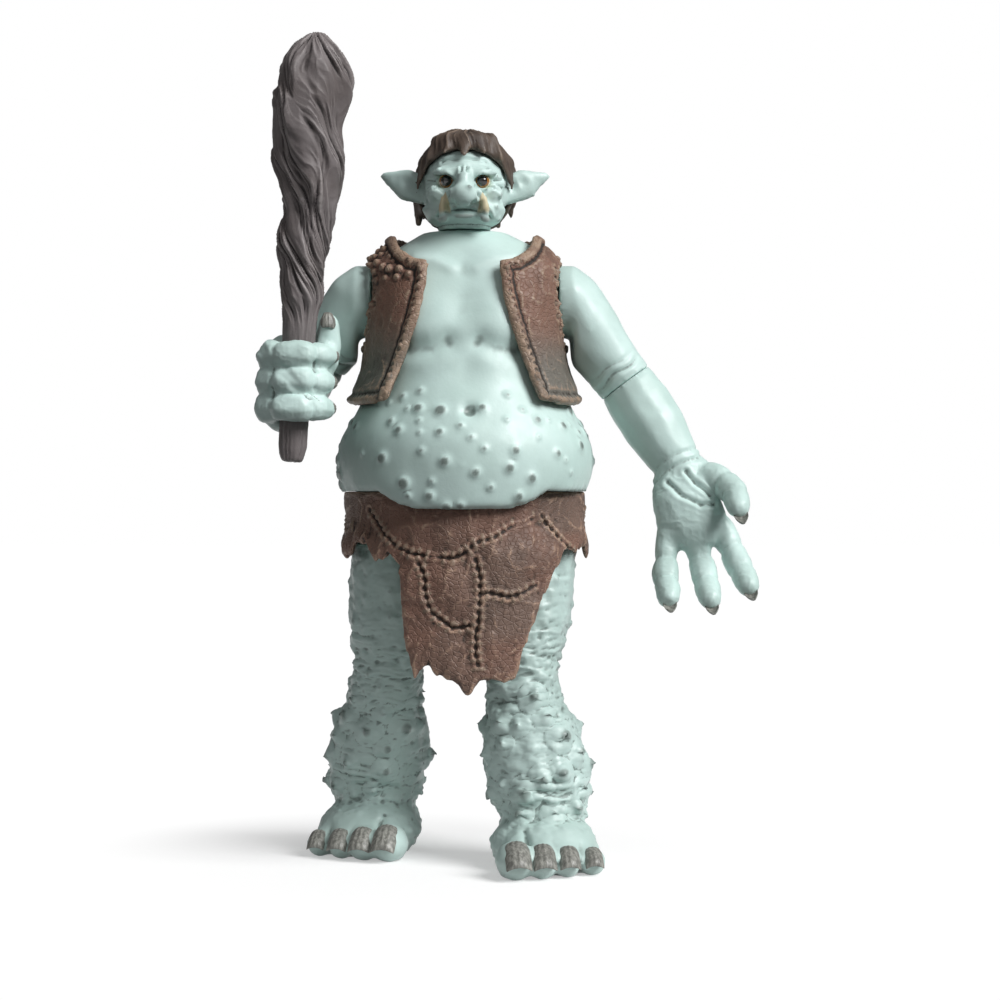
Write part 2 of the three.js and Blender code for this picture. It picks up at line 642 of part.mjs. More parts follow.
// The part of an arm above the parting: a round root in the armhole, then flesh that spreads over the
// vest.
function upperArmSolid(arm) {
  const { side, shoulder, upper, elbow, parting } = arm;
  const flesh = limb(
    [shoulder, shoulder.clone().lerp(elbow, 0.35), shoulder.clone().lerp(elbow, 0.7), elbow],
    [SHOULDER_RADIUS, (SHOULDER_RADIUS + UPPER_ARM_RADIUS) / 2, UPPER_ARM_RADIUS, ELBOW_RADIUS],
    { sides: 12, steps: 5 },
  );
  const spread = cut(flesh, beyond(V(side * shoulderFace, 0, 0), outward(-side)));
  const rootLength = shoulderFace + 0.6 - shoulderDisc;
  const root = rod(V(side * shoulderDisc, 0, shoulderZ), outward(side), SHOULDER_RADIUS, rootLength);
  return cut(join(spread, root), beyond(parting, upper), shoulderPeg(side, GLUED), elbowPeg(arm, GLUED));
}

function forearmFlesh(arm) {
  const { upper, elbow, parting, wrist } = arm;
  const top = parting.clone().addScaledVector(upper, -ELBOW_RADIUS / 2);
  const above = limb([top, elbow], [(UPPER_ARM_RADIUS + ELBOW_RADIUS) / 2, ELBOW_RADIUS], { steps: 1 });
  const below = limb(
    [elbow, elbow.clone().lerp(wrist, 0.35), elbow.clone().lerp(wrist, 0.7), wrist],
    [ELBOW_RADIUS, FOREARM_RADIUS, FOREARM_RADIUS * 0.9, WRIST_RADIUS],
    { steps: 4, hint: V(0, -0.3, 1) },
  );
  const start = parting.clone().addScaledVector(upper, SEAM);
  return cut(join(above, below), beyond(start, upper.clone().negate()));
}

function finger(path, radius) {
  const radii = [1, 0.95, 1, 0.8].map((share) => radius * share);
  return limb(path, radii, { sides: 7, steps: 4, hint: V(1, 0, 0.2) });
}

// The open left hand hangs with its palm to the front, three fingers down and the thumb outwards.
function openHandSolid(arm, hang) {
  const front = V(0, -1, 0);
  const down = hang.clone().normalize();
  const outer = front.clone().cross(down).normalize();
  const at = (along, out, ahead) =>
    arm.wrist.clone().addScaledVector(down, along).addScaledVector(outer, out).addScaledVector(front, ahead);
  const palmPath = [at(-1, 0, 0), at(PALM_LENGTH * 0.5, 0.3, 0.3), at(PALM_LENGTH, 0.6, 0.8)];
  const palm = limb(palmPath, [WRIST_RADIUS, 6.8, 6.4], { steps: 3, hint: outer, flat: 0.68 });
  const fingers = [-4.5, 0.5, 5.5].map((out, i) => {
    const reach = FINGER_LENGTH * [0.9, 1, 0.92][i];
    const spread = 0.24 * out;
    const root = PALM_LENGTH - 1;
    return finger(
      [
        at(root, out * 0.8, 0.6),
        at(root + reach * 0.4, out + spread, 0.2),
        at(root + reach * 0.75, out + 2 * spread, 2.2),
        at(root + reach * 0.95, out + 2.3 * spread, 5.6),
      ],
      FINGER_RADIUS,
    );
  });
  const tip = PALM_LENGTH * 0.4 + THUMB_LENGTH * 0.5;
  const thumbPath = [at(1.5, 3.4, 0.5), at(4, 7, 2.4), at(6.5, 9.2, 5.2), at(tip, 9.4, 8.6)];
  const thumb = finger(thumbPath, THUMB_RADIUS * 0.95);
  return cut(join(forearmFlesh(arm), palm, ...fingers, thumb), elbowPeg(arm, RUN));
}

// Club

const clubAxis = V(0.058, -0.01, 1).normalize();
const fistReach = CLUB_HANDLE_RADIUS + FIST_PALM_RADIUS; // from the wrist to the middle of the club
const fistCentre = (arm) => arm.wrist.clone().addScaledVector(arm.fore, fistReach);

// The knots of the wood: height above the middle of the fist, turn round the club, and reach.
const CLUB_KNOTS = [
  [18, 0.6, 2.3],
  [27, 3.4, 2.6],
  [36, 5.2, 2.4],
  [41, 1.8, 2.8],
  [50, 4.1, 3],
  [56, 0.2, 2.6],
  [60, 2.6, 2.4],
];

// How much of its height a knot has at a place on the club.
function knotAt(height, turn) {
  const swells = CLUB_KNOTS.map(([middle, side, reach]) => {
    const round = Math.atan2(Math.sin(turn - side), Math.cos(turn - side)) * CLUB_HEAD_RADIUS;
    return Math.exp(-(round ** 2 + (0.6 * (height - middle)) ** 2) / reach ** 2);
  });
  return Math.max(...swells);
}

// A club of gnarled wood, with strands that wind slowly round its head and part and meet on their way.
function clubSolid(arm) {
  const below = FIST_HEIGHT / 2 + CLUB_BELOW_FIST; // from the middle of the fist to the club's tail
  const tail = fistCentre(arm).addScaledVector(clubAxis, -below);
  const fistTop = (CLUB_BELOW_FIST + FIST_HEIGHT) / CLUB_LENGTH;
  const stations = [
    [0, CLUB_TAIL_RADIUS * 0.75],
    [0.03, CLUB_TAIL_RADIUS],
    [fistTop * 0.5, CLUB_HANDLE_RADIUS * 0.94],
    [fistTop, CLUB_HANDLE_RADIUS],
    [0.42, CLUB_HANDLE_RADIUS * 1.22],
    [0.5, CLUB_HEAD_RADIUS * 0.67],
    [0.6, CLUB_HEAD_RADIUS * 0.78],
    [0.69, CLUB_HEAD_RADIUS],
    [0.77, CLUB_HEAD_RADIUS * 0.97],
    [0.85, CLUB_HEAD_RADIUS],
    [0.93, CLUB_HEAD_RADIUS * 0.88],
    [0.975, CLUB_HEAD_RADIUS * 0.58],
    [0.993, CLUB_HEAD_RADIUS * 0.28],
  ].map(([z, radius]) => ({ z, radius }));
  const axes = crossAxes(clubAxis, V(1, 0, 0));
  const sides = 4 * CLUB_STRANDS;
  const ring = (share) => {
    const gnarled = THREE.MathUtils.smoothstep(share, fistTop + 0.02, 0.55);
    const wobble = gnarled * (1 - THREE.MathUtils.smoothstep(share, 0.85, 1));
    const height = share * CLUB_LENGTH - below;
    const centre = tail
      .clone()
      .addScaledVector(clubAxis, share * CLUB_LENGTH)
      .addScaledVector(axes[0], 0.7 * wobble * Math.sin(14 * share))
      .addScaledVector(axes[1], 0.7 * wobble * Math.cos(11 * share));
    return Array.from({ length: sides }, (_, i) => {
      const strand = (TAU * i) / sides;
      const turn = strand + gnarled * (CLUB_TWIST * height + 0.16 * Math.sin(2 * strand + 0.22 * height));
      const groove = CLUB_STRAND_DEPTH * (1 - Math.abs(Math.cos((CLUB_STRANDS * strand) / 2)));
      const relief = gnarled * (CLUB_KNOT_HEIGHT * knotAt(height, turn) - groove);
      const radius = sectionValue(stations, "radius", share) + relief * Math.min(1, (1 - share) / 0.06);
      return centre
        .clone()
        .addScaledVector(axes[0], radius * Math.cos(turn))
        .addScaledVector(axes[1], radius * (1 - 0.06 * wobble) * Math.sin(turn));
    });
  };
  const handle = [0, 0.03, fistTop * 0.5];
  const rings = [...handle, ...evenly(fistTop, 0.993, 26)].map(ring);
  return loft(rings, tail, tail.clone().addScaledVector(clubAxis, CLUB_LENGTH));
}

// The right fist: a palm behind and outside the club, three fingers round its front, and a thumb up its
// back.
function fistSolid(arm) {
  const centre = fistCentre(arm);
  const [outer, back] = [V(-1, 0, 0), V(0, 1, 0)];
  const round = (angle, radius, up) =>
    centre
      .clone()
      .addScaledVector(outer, radius * Math.cos(angle))
      .addScaledVector(back, radius * Math.sin(angle))
      .addScaledVector(clubAxis, up);
  const row = FIST_HEIGHT / 3;
  const palmPath = [-row, 0, row].map((up) => round(1.15, fistReach * 0.66, up));
  const palmRadii = [0.9, 1.05, 0.9].map((share) => FIST_PALM_RADIUS * share);
  const palm = limb(palmPath, palmRadii, { sides: 10, steps: 2, hint: outer });
  const fingerRadius = row * 0.53;
  const gripRadius = CLUB_HANDLE_RADIUS + fingerRadius * 0.86;
  const fingers = [-1, 0, 1].map((step) => {
    const path = [1, 0.2, -0.7, -1.6, -2.4, -3.1].map((angle) => round(angle, gripRadius, step * row));
    const radii = [1, 1.06, 0.98, 1.04, 0.9].map((share) => fingerRadius * share);
    return limb(path, radii, { sides: 7, steps: 6, hint: clubAxis });
  });
  const thumb = limb(
    [
      round(1.8, gripRadius, -row / 2),
      round(2.4, gripRadius + 0.5, row / 2),
      round(2.7, gripRadius + 0.4, row * 1.2),
      round(2.8, gripRadius, THUMB_LENGTH),
    ],
    [1.08, 1.02, 0.95, 0.8].map((share) => THUMB_RADIUS * share),
    { sides: 7, steps: 4, hint: outer },
  );
  const gripLow = centre.clone().addScaledVector(clubAxis, -FIST_HEIGHT);
  const gripBore = CLUB_HANDLE_RADIUS + GRIP_CLEARANCE;
  const grip = rod(gripLow, clubAxis, gripBore, 2 * FIST_HEIGHT, 16);
  const fistTop = centre.clone().addScaledVector(clubAxis, FIST_HEIGHT / 2);
  const swell = CLUB_HEAD_RADIUS * 0.8;
  const flare = FIST_HEIGHT * 0.8;
  const clubRoom = turned([[0, 0], [gripBore, 0], [swell, flare], [0, flare]], fistTop, clubAxis, 16);
  return cut(join(forearmFlesh(arm), palm, ...fingers, thumb), grip, clubRoom, elbowPeg(arm, RUN));
}

// Head

const headBase = neckZ + SEAM;
const skullCentre = V(0, -1.5, headBase + SKULL_HEIGHT * 0.95);
const onSkull = (x, y, z) => skullCentre.clone().add(V(x, y, z));

// The flesh of the head. grow widens every form, for what has to clear it.
function headForms(grow) {
  const blob = (centre, radii, across = 10, up = 6) =>
    ellipsoid(
      centre,
      radii.map((radius) => radius + grow),
      across,
      up,
    );
  const mirrored = (form) => [form(-1), form(1)];
  const nose = (...shares) => shares.map((share) => NOSE_RADIUS * share);
  const skull = blob(onSkull(0, 0, 0), [SKULL_SIDE, SKULL_DEPTH, SKULL_HEIGHT], 14, 9);
  const jawRadii = [SKULL_SIDE * 0.95, SKULL_DEPTH * 0.75, SKULL_HEIGHT * 0.5];
  const onFace = (x, y, z) => onSkull(x * SKULL_SIDE, -y * SKULL_DEPTH, z * SKULL_HEIGHT);
  const faceRadii = (x, y, z) => [x * SKULL_SIDE, y * SKULL_DEPTH, z * SKULL_HEIGHT];
  const jaw = blob(onFace(0, 0.37, -0.54), jawRadii, 12, 6);
  const brow = blob(onFace(0, 0.8, 0.21), faceRadii(0.78, 0.27, 0.18));
  const bridge = blob(onFace(0, 1.07, -0.07), nose(0.66, 1, 1.15));
  const bulb = blob(onFace(0, 1.27, -0.32), nose(1, 0.95, 0.85));
  const nostrils = mirrored((side) => blob(onFace(side * 0.29, 1.12, -0.32), nose(0.5, 0.6, 0.5), 8));
  const cheeks = mirrored((side) => blob(onFace(side * 0.57, 0.7, -0.23), faceRadii(0.3, 0.27, 0.25)));
  const ears = mirrored((side) =>
    limb(
      [
        onSkull(side * SKULL_SIDE * 0.86, -0.5, -EAR_HALF_HEIGHT * 0.3),
        onSkull(side * (SKULL_SIDE + EAR_LENGTH * 0.45), 0.8, EAR_HALF_HEIGHT * 0.3),
        onSkull(side * (SKULL_SIDE + EAR_LENGTH), 1.8, EAR_HALF_HEIGHT * 0.8),
      ],
      [0.9, 1, 0.28].map((share) => share * EAR_HALF_HEIGHT + grow),
      { sides: 8, steps: 4, hint: V(0, 0, 1), flat: 0.45 },
    ),
  );
  return join(skull, jaw, brow, bridge, bulb, ...nostrils, ...cheeks, ...ears);
}

const tusk = (side) =>
  limb(
    [
      onSkull(side * SKULL_SIDE * 0.42, -SKULL_DEPTH * 0.98, -SKULL_HEIGHT * 0.74),
      onSkull(side * SKULL_SIDE * 0.47, -SKULL_DEPTH * 1.14, -SKULL_HEIGHT * 0.56),
      onSkull(side * SKULL_SIDE * 0.48, -SKULL_DEPTH * 1.15, -SKULL_HEIGHT * 0.36),
    ],
    [1.2, 1, 0.45],
    { sides: 6, steps: 2 },
  );

function headSolid() {
  const below = beyond(V(0, 0, headBase), V(0, 0, -1));
  return cut(join(headForms(0), tusk(-1), tusk(1)), below, neckPeg(GLUED));
}

// A shaggy mop of moulded hair: a cap from the brow over the crown to the nape, with locks that hang
// behind the ears and lie over the forehead.
function hairSolid() {
  const cover = [SKULL_SIDE, SKULL_DEPTH, SKULL_HEIGHT].map((radius) => radius + HAIR_THICKNESS);
  const capCentre = onSkull(0, 0.9, 0.6);
  const cap = ellipsoid(capCentre, cover, 14, 9);
  const onCap = (turn, lift, out) => {
    const reach = (i) => cover[i] + out;
    const level = Math.cos(lift);
    const flat = V(reach(0) * Math.sin(turn) * level, -reach(1) * Math.cos(turn) * level, 0);
    return capCentre.clone().add(flat).add(V(0, 0, reach(2) * Math.sin(lift)));
  };
  const hanging = evenly(1.95, TAU - 1.95, 7).map((turn, i) => {
    const low = i % 2 ? -0.62 : -0.5;
    const path = [onCap(turn, 0.7, -1.8), onCap(turn + 0.04, 0.1, -0.6), onCap(turn + 0.1, low, 1.4)];
    const radii = [LOCK_RADIUS, LOCK_RADIUS * 0.95, 0.7];
    return limb(path, radii, { sides: 6, steps: 3, hint: V(0, 0, 1).cross(path[1]), flat: 0.7 });
  });
  const fringe = [-0.75, -0.38, 0, 0.38, 0.75].map((turn, i) => {
    const low = i % 2 ? 0.52 : 0.44;
    const path = [onCap(turn, 1.25, -1.2), onCap(turn * 1.1, 0.85, 0.1), onCap(turn * 1.15, low, 0.2)];
    const radii = [LOCK_RADIUS * 0.8, LOCK_RADIUS * 0.75, 0.6];
    return limb(path, radii, { sides: 6, steps: 2, hint: V(1, 0, 0), flat: 0.7 });
  });
  const hairline = onSkull(0, -SKULL_DEPTH * 0.62, SKULL_HEIGHT * 0.5);
  const face = beyond(hairline, V(0, -1, -0.75));
  const mop = join(cut(cap, face), ...hanging, ...fringe);
  return cut(mop, headForms(HAIR_FIT), beyond(V(0, 0, headBase + 1), V(0, 0, -1)));
}

// Assembly

const leftArm = armPlan(1, V(0.6, -0.03, -0.8), V(0.515, -0.2, -0.84), LEFT_PARTING);
const rightArm = armPlan(-1, V(-0.63, 0.2, -0.75), V(0.05, -0.985, -0.06), RIGHT_PARTING);

const figure = new THREE.Group();
const add = (name, solid, material) => figure.add(meshOf(name, solid, material));

add("hips", hipsSolid(), skin);
add("left_leg", legSolid(1, { knee: [-1.6, -6.5], ankle: [2, -8], heading: 0.14 }), skin);
add("right_leg", legSolid(-1, { knee: [3.2, 6], ankle: [5.6, 14], heading: -0.22 }), skin);
add("left_hip_dowel", hipDowel(1), pegPlastic);
add("right_hip_dowel", hipDowel(-1), pegPlastic);
add("kilt", kiltSolid(), hide);
add("waist_peg", waistPeg(0), pegPlastic);

add("torso_front", torsoShell(-1), skin);
add("torso_back", torsoShell(1), skin);
add("vest", vestSolid(), hide);

add("head", headSolid(), skin);
add("hair", hairSolid(), hairPaint);
add("neck_peg", neckPeg(0), pegPlastic);

add("left_upper_arm", upperArmSolid(leftArm), skin);
add("left_forearm", openHandSolid(leftArm, V(0.16, -0.25, -0.95)), skin);
add("left_shoulder_peg", shoulderPeg(1, 0), pegPlastic);
add("left_elbow_peg", elbowPeg(leftArm, 0), pegPlastic);

add("right_upper_arm", upperArmSolid(rightArm), skin);
add("right_forearm", fistSolid(rightArm), skin);
add("right_shoulder_peg", shoulderPeg(-1, 0), pegPlastic);
add("right_elbow_peg", elbowPeg(rightArm, 0), pegPlastic);
add("club", clubSolid(rightArm), wood);

// Centre the figure over the origin, with its soles on the floor.
const bounds = new THREE.Box3().setFromObject(figure, true);
const middle = bounds.getCenter(V(0, 0, 0));
figure.position.set(-middle.x, -middle.y, -bounds.min.z);

const troll = new THREE.Group();
troll.add(figure);

export default troll;
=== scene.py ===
import itertools
import json
import math

import bmesh
import bpy
import numpy as np
from mathutils import Matrix, Vector
from mathutils.bvhtree import BVHTree
from mathutils.kdtree import KDTree

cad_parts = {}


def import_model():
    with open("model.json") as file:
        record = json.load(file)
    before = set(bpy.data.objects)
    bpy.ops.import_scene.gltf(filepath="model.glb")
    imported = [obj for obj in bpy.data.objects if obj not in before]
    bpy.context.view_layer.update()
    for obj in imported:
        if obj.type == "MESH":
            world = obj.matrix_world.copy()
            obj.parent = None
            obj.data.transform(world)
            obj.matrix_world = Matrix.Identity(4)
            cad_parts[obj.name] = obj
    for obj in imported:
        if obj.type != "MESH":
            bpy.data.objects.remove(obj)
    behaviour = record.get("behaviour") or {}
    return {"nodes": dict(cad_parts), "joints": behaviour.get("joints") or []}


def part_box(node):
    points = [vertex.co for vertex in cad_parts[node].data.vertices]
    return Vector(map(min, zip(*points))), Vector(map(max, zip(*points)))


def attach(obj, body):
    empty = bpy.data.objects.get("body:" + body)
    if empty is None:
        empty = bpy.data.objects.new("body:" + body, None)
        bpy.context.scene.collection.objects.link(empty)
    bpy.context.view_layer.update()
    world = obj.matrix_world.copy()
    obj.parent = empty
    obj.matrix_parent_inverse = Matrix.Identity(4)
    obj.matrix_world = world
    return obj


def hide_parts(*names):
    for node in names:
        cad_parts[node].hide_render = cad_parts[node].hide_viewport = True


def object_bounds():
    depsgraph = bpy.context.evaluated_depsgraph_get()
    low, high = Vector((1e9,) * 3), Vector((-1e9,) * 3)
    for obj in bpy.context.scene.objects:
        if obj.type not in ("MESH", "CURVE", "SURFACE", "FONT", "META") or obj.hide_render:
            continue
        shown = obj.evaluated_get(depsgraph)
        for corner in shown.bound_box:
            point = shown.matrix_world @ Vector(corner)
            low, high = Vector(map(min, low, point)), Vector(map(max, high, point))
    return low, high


MM = 0.001
TAU = 2 * math.pi
SEED = 11
GAP = 0.3  # between two mouldings that meet

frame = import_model()
cad_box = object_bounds()
BOX_LOW = np.array(cad_box[0]) / MM + 0.01
BOX_HIGH = np.array(cad_box[1]) / MM - 0.01
JOINTS = {joint["name"]: joint for joint in frame["joints"]}


def joint_place(name):
    return np.array(JOINTS[name]["pos_m"]) / MM


def unit(vector):
    vector = np.array(vector, float)
    return vector / np.linalg.norm(vector)


def joint_axis(name):
    return unit(JOINTS[name]["axis"])


WAIST = joint_place("waist_swivel")
NECK = joint_place("neck_swivel")
SHOULDER_Z = joint_place("left_shoulder")[2]
UP = np.array([0.0, 0, 1])


# Noise and curves


def lattice(cells, seed):
    """A repeatable random value from -1 to 1 for each whole-number cell."""
    x, y, z = (cells[:, i].astype(np.int64) for i in range(3))
    mixed = (x * 73856093) ^ (y * 19349663) ^ (z * 83492791) ^ (seed * 97531)
    mixed = ((mixed ^ (mixed >> 13)) * 1274126177) & 0x7FFFFFFF
    mixed = ((mixed ^ (mixed >> 15)) * 668265263) & 0x7FFFFFFF
    return ((mixed >> 7) & 0xFFFF) / 32767.5 - 1


def noise(points, size, seed=0):
    """Smooth noise from about -1 to 1, with features of that size."""
    place = points / size
    cell = np.floor(place)
    t = place - cell
    t = t * t * t * (t * (t * 6 - 15) + 10)
    total = np.zeros(len(points))
    for corner in itertools.product((0, 1), repeat=3):
        share = np.prod(np.where(corner, t, 1 - t), axis=1)
        total += share * lattice(cell + corner, seed)
    return total


TURN = np.array(Matrix.Rotation(0.7, 3, Vector((1, 2, 3))))  # so that the layers' cells don't line up


def layered(points, size, layers, seed=0):
    """Several sizes of noise, each half as large and half as strong as the one before."""
    total = np.zeros(len(points))
    for layer in range(layers):
        total += noise(points, size / 2**layer, seed + layer) / 2**layer
        points = points @ TURN
    return total


def ridges(points, size, layers, seed=0):
    """Noise folded into sharp ridges, from 0 in the valleys to 1 on the ridges."""
    total = np.zeros(len(points))
    for layer in range(layers):
        total += (1 - np.abs(noise(points, size / 2**layer, seed + layer))) / 2**layer
        points = points @ TURN
    return total / (2 - 2 / 2**layers)


def wander(points, size, seeds):
    """Three noises as one vector for each point."""
    return np.stack([noise(points, size, seed) for seed in seeds], 1)


def smoothstep(low, high, value):
    t = np.clip((value - low) / (high - low), 0, 1)
    return t * t * (3 - 2 * t)


def bell(away, width, power=2):
    """1 in the middle, falling off with the distance. A higher power gives a flatter top."""
    return np.exp(-((away / width) ** power))


def to_path(points, path):
    """How far each point lies from a line through path, and how far along it the nearest place is."""
    path = np.array(path, float)
    nearest = np.full(len(points), np.inf)
    along = np.zeros(len(points))
    start = 0.0
    for a, b in zip(path[:-1], path[1:]):
        length = np.linalg.norm(b - a)
        share = np.clip((points - a) @ (b - a) / length**2, 0, 1)
        away = np.linalg.norm(points - a - share[:, None] * (b - a), axis=1)
        closer = away < nearest
        nearest[closer] = away[closer]
        along[closer] = (start + share * length)[closer]
        start += length
    return nearest, along


def spaced(path, step):
    """Places at even steps along a path, and the path's direction there."""
    path = np.array(path, float)
    run = np.concatenate([[0], np.cumsum(np.linalg.norm(np.diff(path, axis=0), axis=1))])
    marks = np.arange(step / 2, run[-1], step)

    def there(distance):
        return np.stack([np.interp(distance, run, path[:, i]) for i in range(3)], 1)

    ahead = there(marks + 0.3) - there(marks - 0.3)
    return there(marks), ahead / np.linalg.norm(ahead, axis=1)[:, None]


def smooth_line(points, number):
    """A smooth line through points."""
    points = np.array(points, float)
    padded = np.concatenate([[2 * points[0] - points[1]], points, [2 * points[-1] - points[-2]]])
    found = []
    for t in np.linspace(0, len(points) - 1, number):
        i = min(int(t), len(points) - 2)
        s = t - i
        a, b, c, d = padded[i : i + 4]
        place = 2 * b + (c - a) * s + (2 * a - 5 * b + 4 * c - d) * s**2
        found.append(0.5 * (place + (3 * b - a - 3 * c + d) * s**3))
    return np.array(found)


def around(tree, angle, z):
    """The place of a surface round the waist's axis, at an angle from the front towards the left."""
    out = Vector((math.sin(angle), -math.cos(angle), 0))
    axis = Vector((WAIST[0], WAIST[1], z)) * MM
    hit = tree.ray_cast(axis + out * 0.08, -out, 0.08)[0]
    return None if hit is None else np.array(hit) / MM


def ray(tree, start, way):
    """Where a ray first meets a surface."""
    return np.array(tree.ray_cast(Vector(start) * MM, Vector(way))[0]) / MM


# Pieces


def put(name, data):
    """A new object in the scene."""
    thing = bpy.data.objects.new(name, data)
    bpy.context.scene.collection.objects.link(thing)
    return thing


def dress(mesh, material):
    """Shades a mesh smoothly and gives it its paint."""
    mesh.polygons.foreach_set("use_smooth", np.ones(len(mesh.polygons), bool))
    mesh.materials.clear()
    mesh.materials.append(material)


class Clay:
    """A surface while it is being shaped, in millimetres. It starts as one even skin over CAD nodes."""

    def __init__(self, name, nodes, voxel, rounds, faces=(), flesh=None, thin=False):
        """Flat faces hold still while the skin is smoothed. A thick form gets back what smoothing takes."""
        mesh = bpy.data.meshes.new(name)
        shape = bmesh.new()
        for node in nodes:
            shape.from_mesh(frame["nodes"][node].data)
        if flesh:
            flesh(shape)
        shape.to_mesh(mesh)
        shape.free()
        self.piece = put(name, mesh)
        self.nodes = nodes
        remesh = self.piece.modifiers.new("skin", "REMESH")
        remesh.mode = "VOXEL"
        remesh.voxel_size = voxel * MM
        self.settle()
        held = np.zeros(len(self.at), bool)
        for point, normal in faces:
            near = np.abs((self.at - point) @ unit(normal)) < 0.55 * voxel
            held |= near & (np.abs(self.out @ unit(normal)) > 0.5)
        rough = self.at
        self.at = self.averaged(self.at, rounds, free=~held)
        self.write()
        if not thin:
            lost = self.averaged(np.einsum("ij,ij->i", rough - self.at, self.out), 24)
            self.push(lost * ~held)
        finer = self.piece.modifiers.new("finer", "SUBSURF")
        finer.levels = 1
        self.settle()

    def settle(self):
        """Applies the modifiers and reads the result."""
        graph = bpy.context.evaluated_depsgraph_get()
        old = self.piece.data
        self.piece.data = bpy.data.meshes.new_from_object(self.piece.evaluated_get(graph))
        self.piece.modifiers.clear()
        bpy.data.meshes.remove(old)
        self.piece.data.name = self.piece.name
        self.read()

    def read(self):
        mesh = self.piece.data
        self.at = np.empty(len(mesh.vertices) * 3)
        mesh.vertices.foreach_get("co", self.at)
        self.at = self.at.reshape(-1, 3) / MM
        self.edges = np.empty(len(mesh.edges) * 2, np.int32)
        mesh.edges.foreach_get("vertices", self.edges)
        self.edges = self.edges.reshape(-1, 2)
        self.look()

    def write(self):
        self.piece.data.vertices.foreach_set("co", (self.at * MM).ravel())
        self.piece.data.update()
        self.look()

    def look(self):
        """Reads which way the surface faces at each point."""
        self.out = np.empty(len(self.at) * 3, np.float32)
        self.piece.data.vertex_normals.foreach_get("vector", self.out)
        self.out = self.out.reshape(-1, 3).astype(float)

    def averaged(self, values, rounds, free=None):
        """The values spread over the surface, each round half of the way to the neighbours' mean."""
        a, b = self.edges[:, 0], self.edges[:, 1]
        number = len(self.at)
        count = np.bincount(a, minlength=number) + np.bincount(b, minlength=number)
        columns = [column.copy() for column in np.atleast_2d(values.T)]
        for _ in range(rounds):
            for column in columns:
                near = np.bincount(a, column[b], number) + np.bincount(b, column[a], number)
                step = 0.5 * (near / count - column)
                column += step if free is None else step * free
        return np.stack(columns, 1) if values.ndim == 2 else columns[0]

    def push(self, amount):
        """Moves the surface out by amount, in millimetres."""
        self.at = self.at + self.out * amount[:, None]
        self.write()

    def extend(self, point, normal, amount):
        """Moves a flat face out by amount."""
        height = (self.at - point) @ unit(normal)
        flat = (np.abs(height) < 0.45) & (self.out @ unit(normal) > 0.8)
        self.at[flat] += unit(normal) * (amount - height[flat])[:, None]
        self.write()

    def bumps(self, centres, radius, height, power=2.0):
        """Round bumps on the centres. A lower power gives a sharper tip."""
        amount = np.zeros(len(self.at))
        number = len(centres)
        for centre, r, h in zip(centres, np.broadcast_to(radius, number), np.broadcast_to(height, number)):
            away = np.linalg.norm(self.at - centre, axis=1) / r
            near = away < 2.2
            amount[near] = np.maximum(amount[near], h * bell(away[near], 1, power))
        return amount

    def studs(self, places, dice, sizes, height, power=2.0):
        """Bumps of random sizes, each as high as its radius times height."""
        radius = dice.uniform(*sizes, len(places))
        return self.bumps(places, radius, radius * height, power)

    def crease(self, path, width, depth, lip=0.0):
        """A fold along a path, with a raised lip on both sides."""
        away = to_path(self.at, path)[0] / width
        return -depth * bell(away, 1) + lip * bell(away - 1.9, 1)

    def beads(self, strokes, width, height):
        """Rounded ridges along short straight strokes."""
        amount = np.zeros(len(self.at))
        for a, b in strokes:
            along = b - a
            reach = np.linalg.norm(along) / 2 + 3 * width
            near = np.flatnonzero(np.abs(self.at - (a + b) / 2).max(axis=1) < reach)
            share = np.clip((self.at[near] - a) @ along / max(along @ along, 1e-9), 0, 1)
            away = np.linalg.norm(self.at[near] - a - share[:, None] * along, axis=1)
            amount[near] = np.maximum(amount[near], height * bell(away, width))
        return amount

    def tree(self):
        return BVHTree.FromObject(self.piece, bpy.context.evaluated_depsgraph_get())

    def away_from(self, points):
        """How far each place of the surface lies from the nearest of some points."""
        near = KDTree(len(points))
        for i, point in enumerate(points):
            near.insert(point, i)
        near.balance()
        return np.array([near.find(place)[2] for place in self.at])

    def sewn(self, path, step, start, end, inward, lean=0.25):
        """Stitches along a path, each from start to end off it on the side that inward gives."""
        surface = self.tree()
        strokes = []
        for place, run in zip(*spaced(path, step)):
            normal = np.array(surface.find_nearest(Vector(place) * MM)[1])
            across = unit(np.cross(normal, run))
            across = across * math.copysign(1, across @ inward(place))
            ends = [place + across * start, place + across * end + run * lean]
            strokes.append([np.array(surface.find_nearest(Vector(e) * MM)[0]) / MM for e in ends])
        return strokes

    def scatter(self, number, spacing, keep, seed):
        """Random places on the surface, at least spacing apart, where keep(places, normals) is true."""
        dice = np.random.default_rng(seed)
        order = dice.permutation(len(self.at))
        order = order[keep(self.at[order], self.out[order])]
        chosen = []
        for i in order[: number * 60]:
            place = self.at[i]
            if all(np.linalg.norm(place - other) > spacing for other in chosen):
                chosen.append(place)
            if len(chosen) == number:
                break
        return np.array(chosen)

    def mark(self, name, values):
        """Keeps values for the paint, as an attribute of the points."""
        mesh = self.piece.data
        attribute = mesh.attributes.get(name) or mesh.attributes.new(name, "FLOAT", "POINT")
        attribute.data.foreach_set("value", np.clip(values, -4, 4).astype(np.float32))

    def recess(self, fine, broad, gain):
        """Marks hollows and ridges for painted shade and painted highlight: 0.5 on a flat place, more in
        hollows and less on ridges.
        """
        total = np.zeros(len(self.at))
        for rounds, strength in ((fine, 1.6), (broad, 0.6)):
            lift = self.averaged(self.at, rounds) - self.at
            total += strength * np.einsum("ij,ij->i", lift, self.out)
        self.mark("recess", np.clip(0.5 + gain * total, 0, 1))

    def clip(self):
        """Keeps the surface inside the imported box."""
        self.at = np.clip(self.at, BOX_LOW, BOX_HIGH)
        self.write()

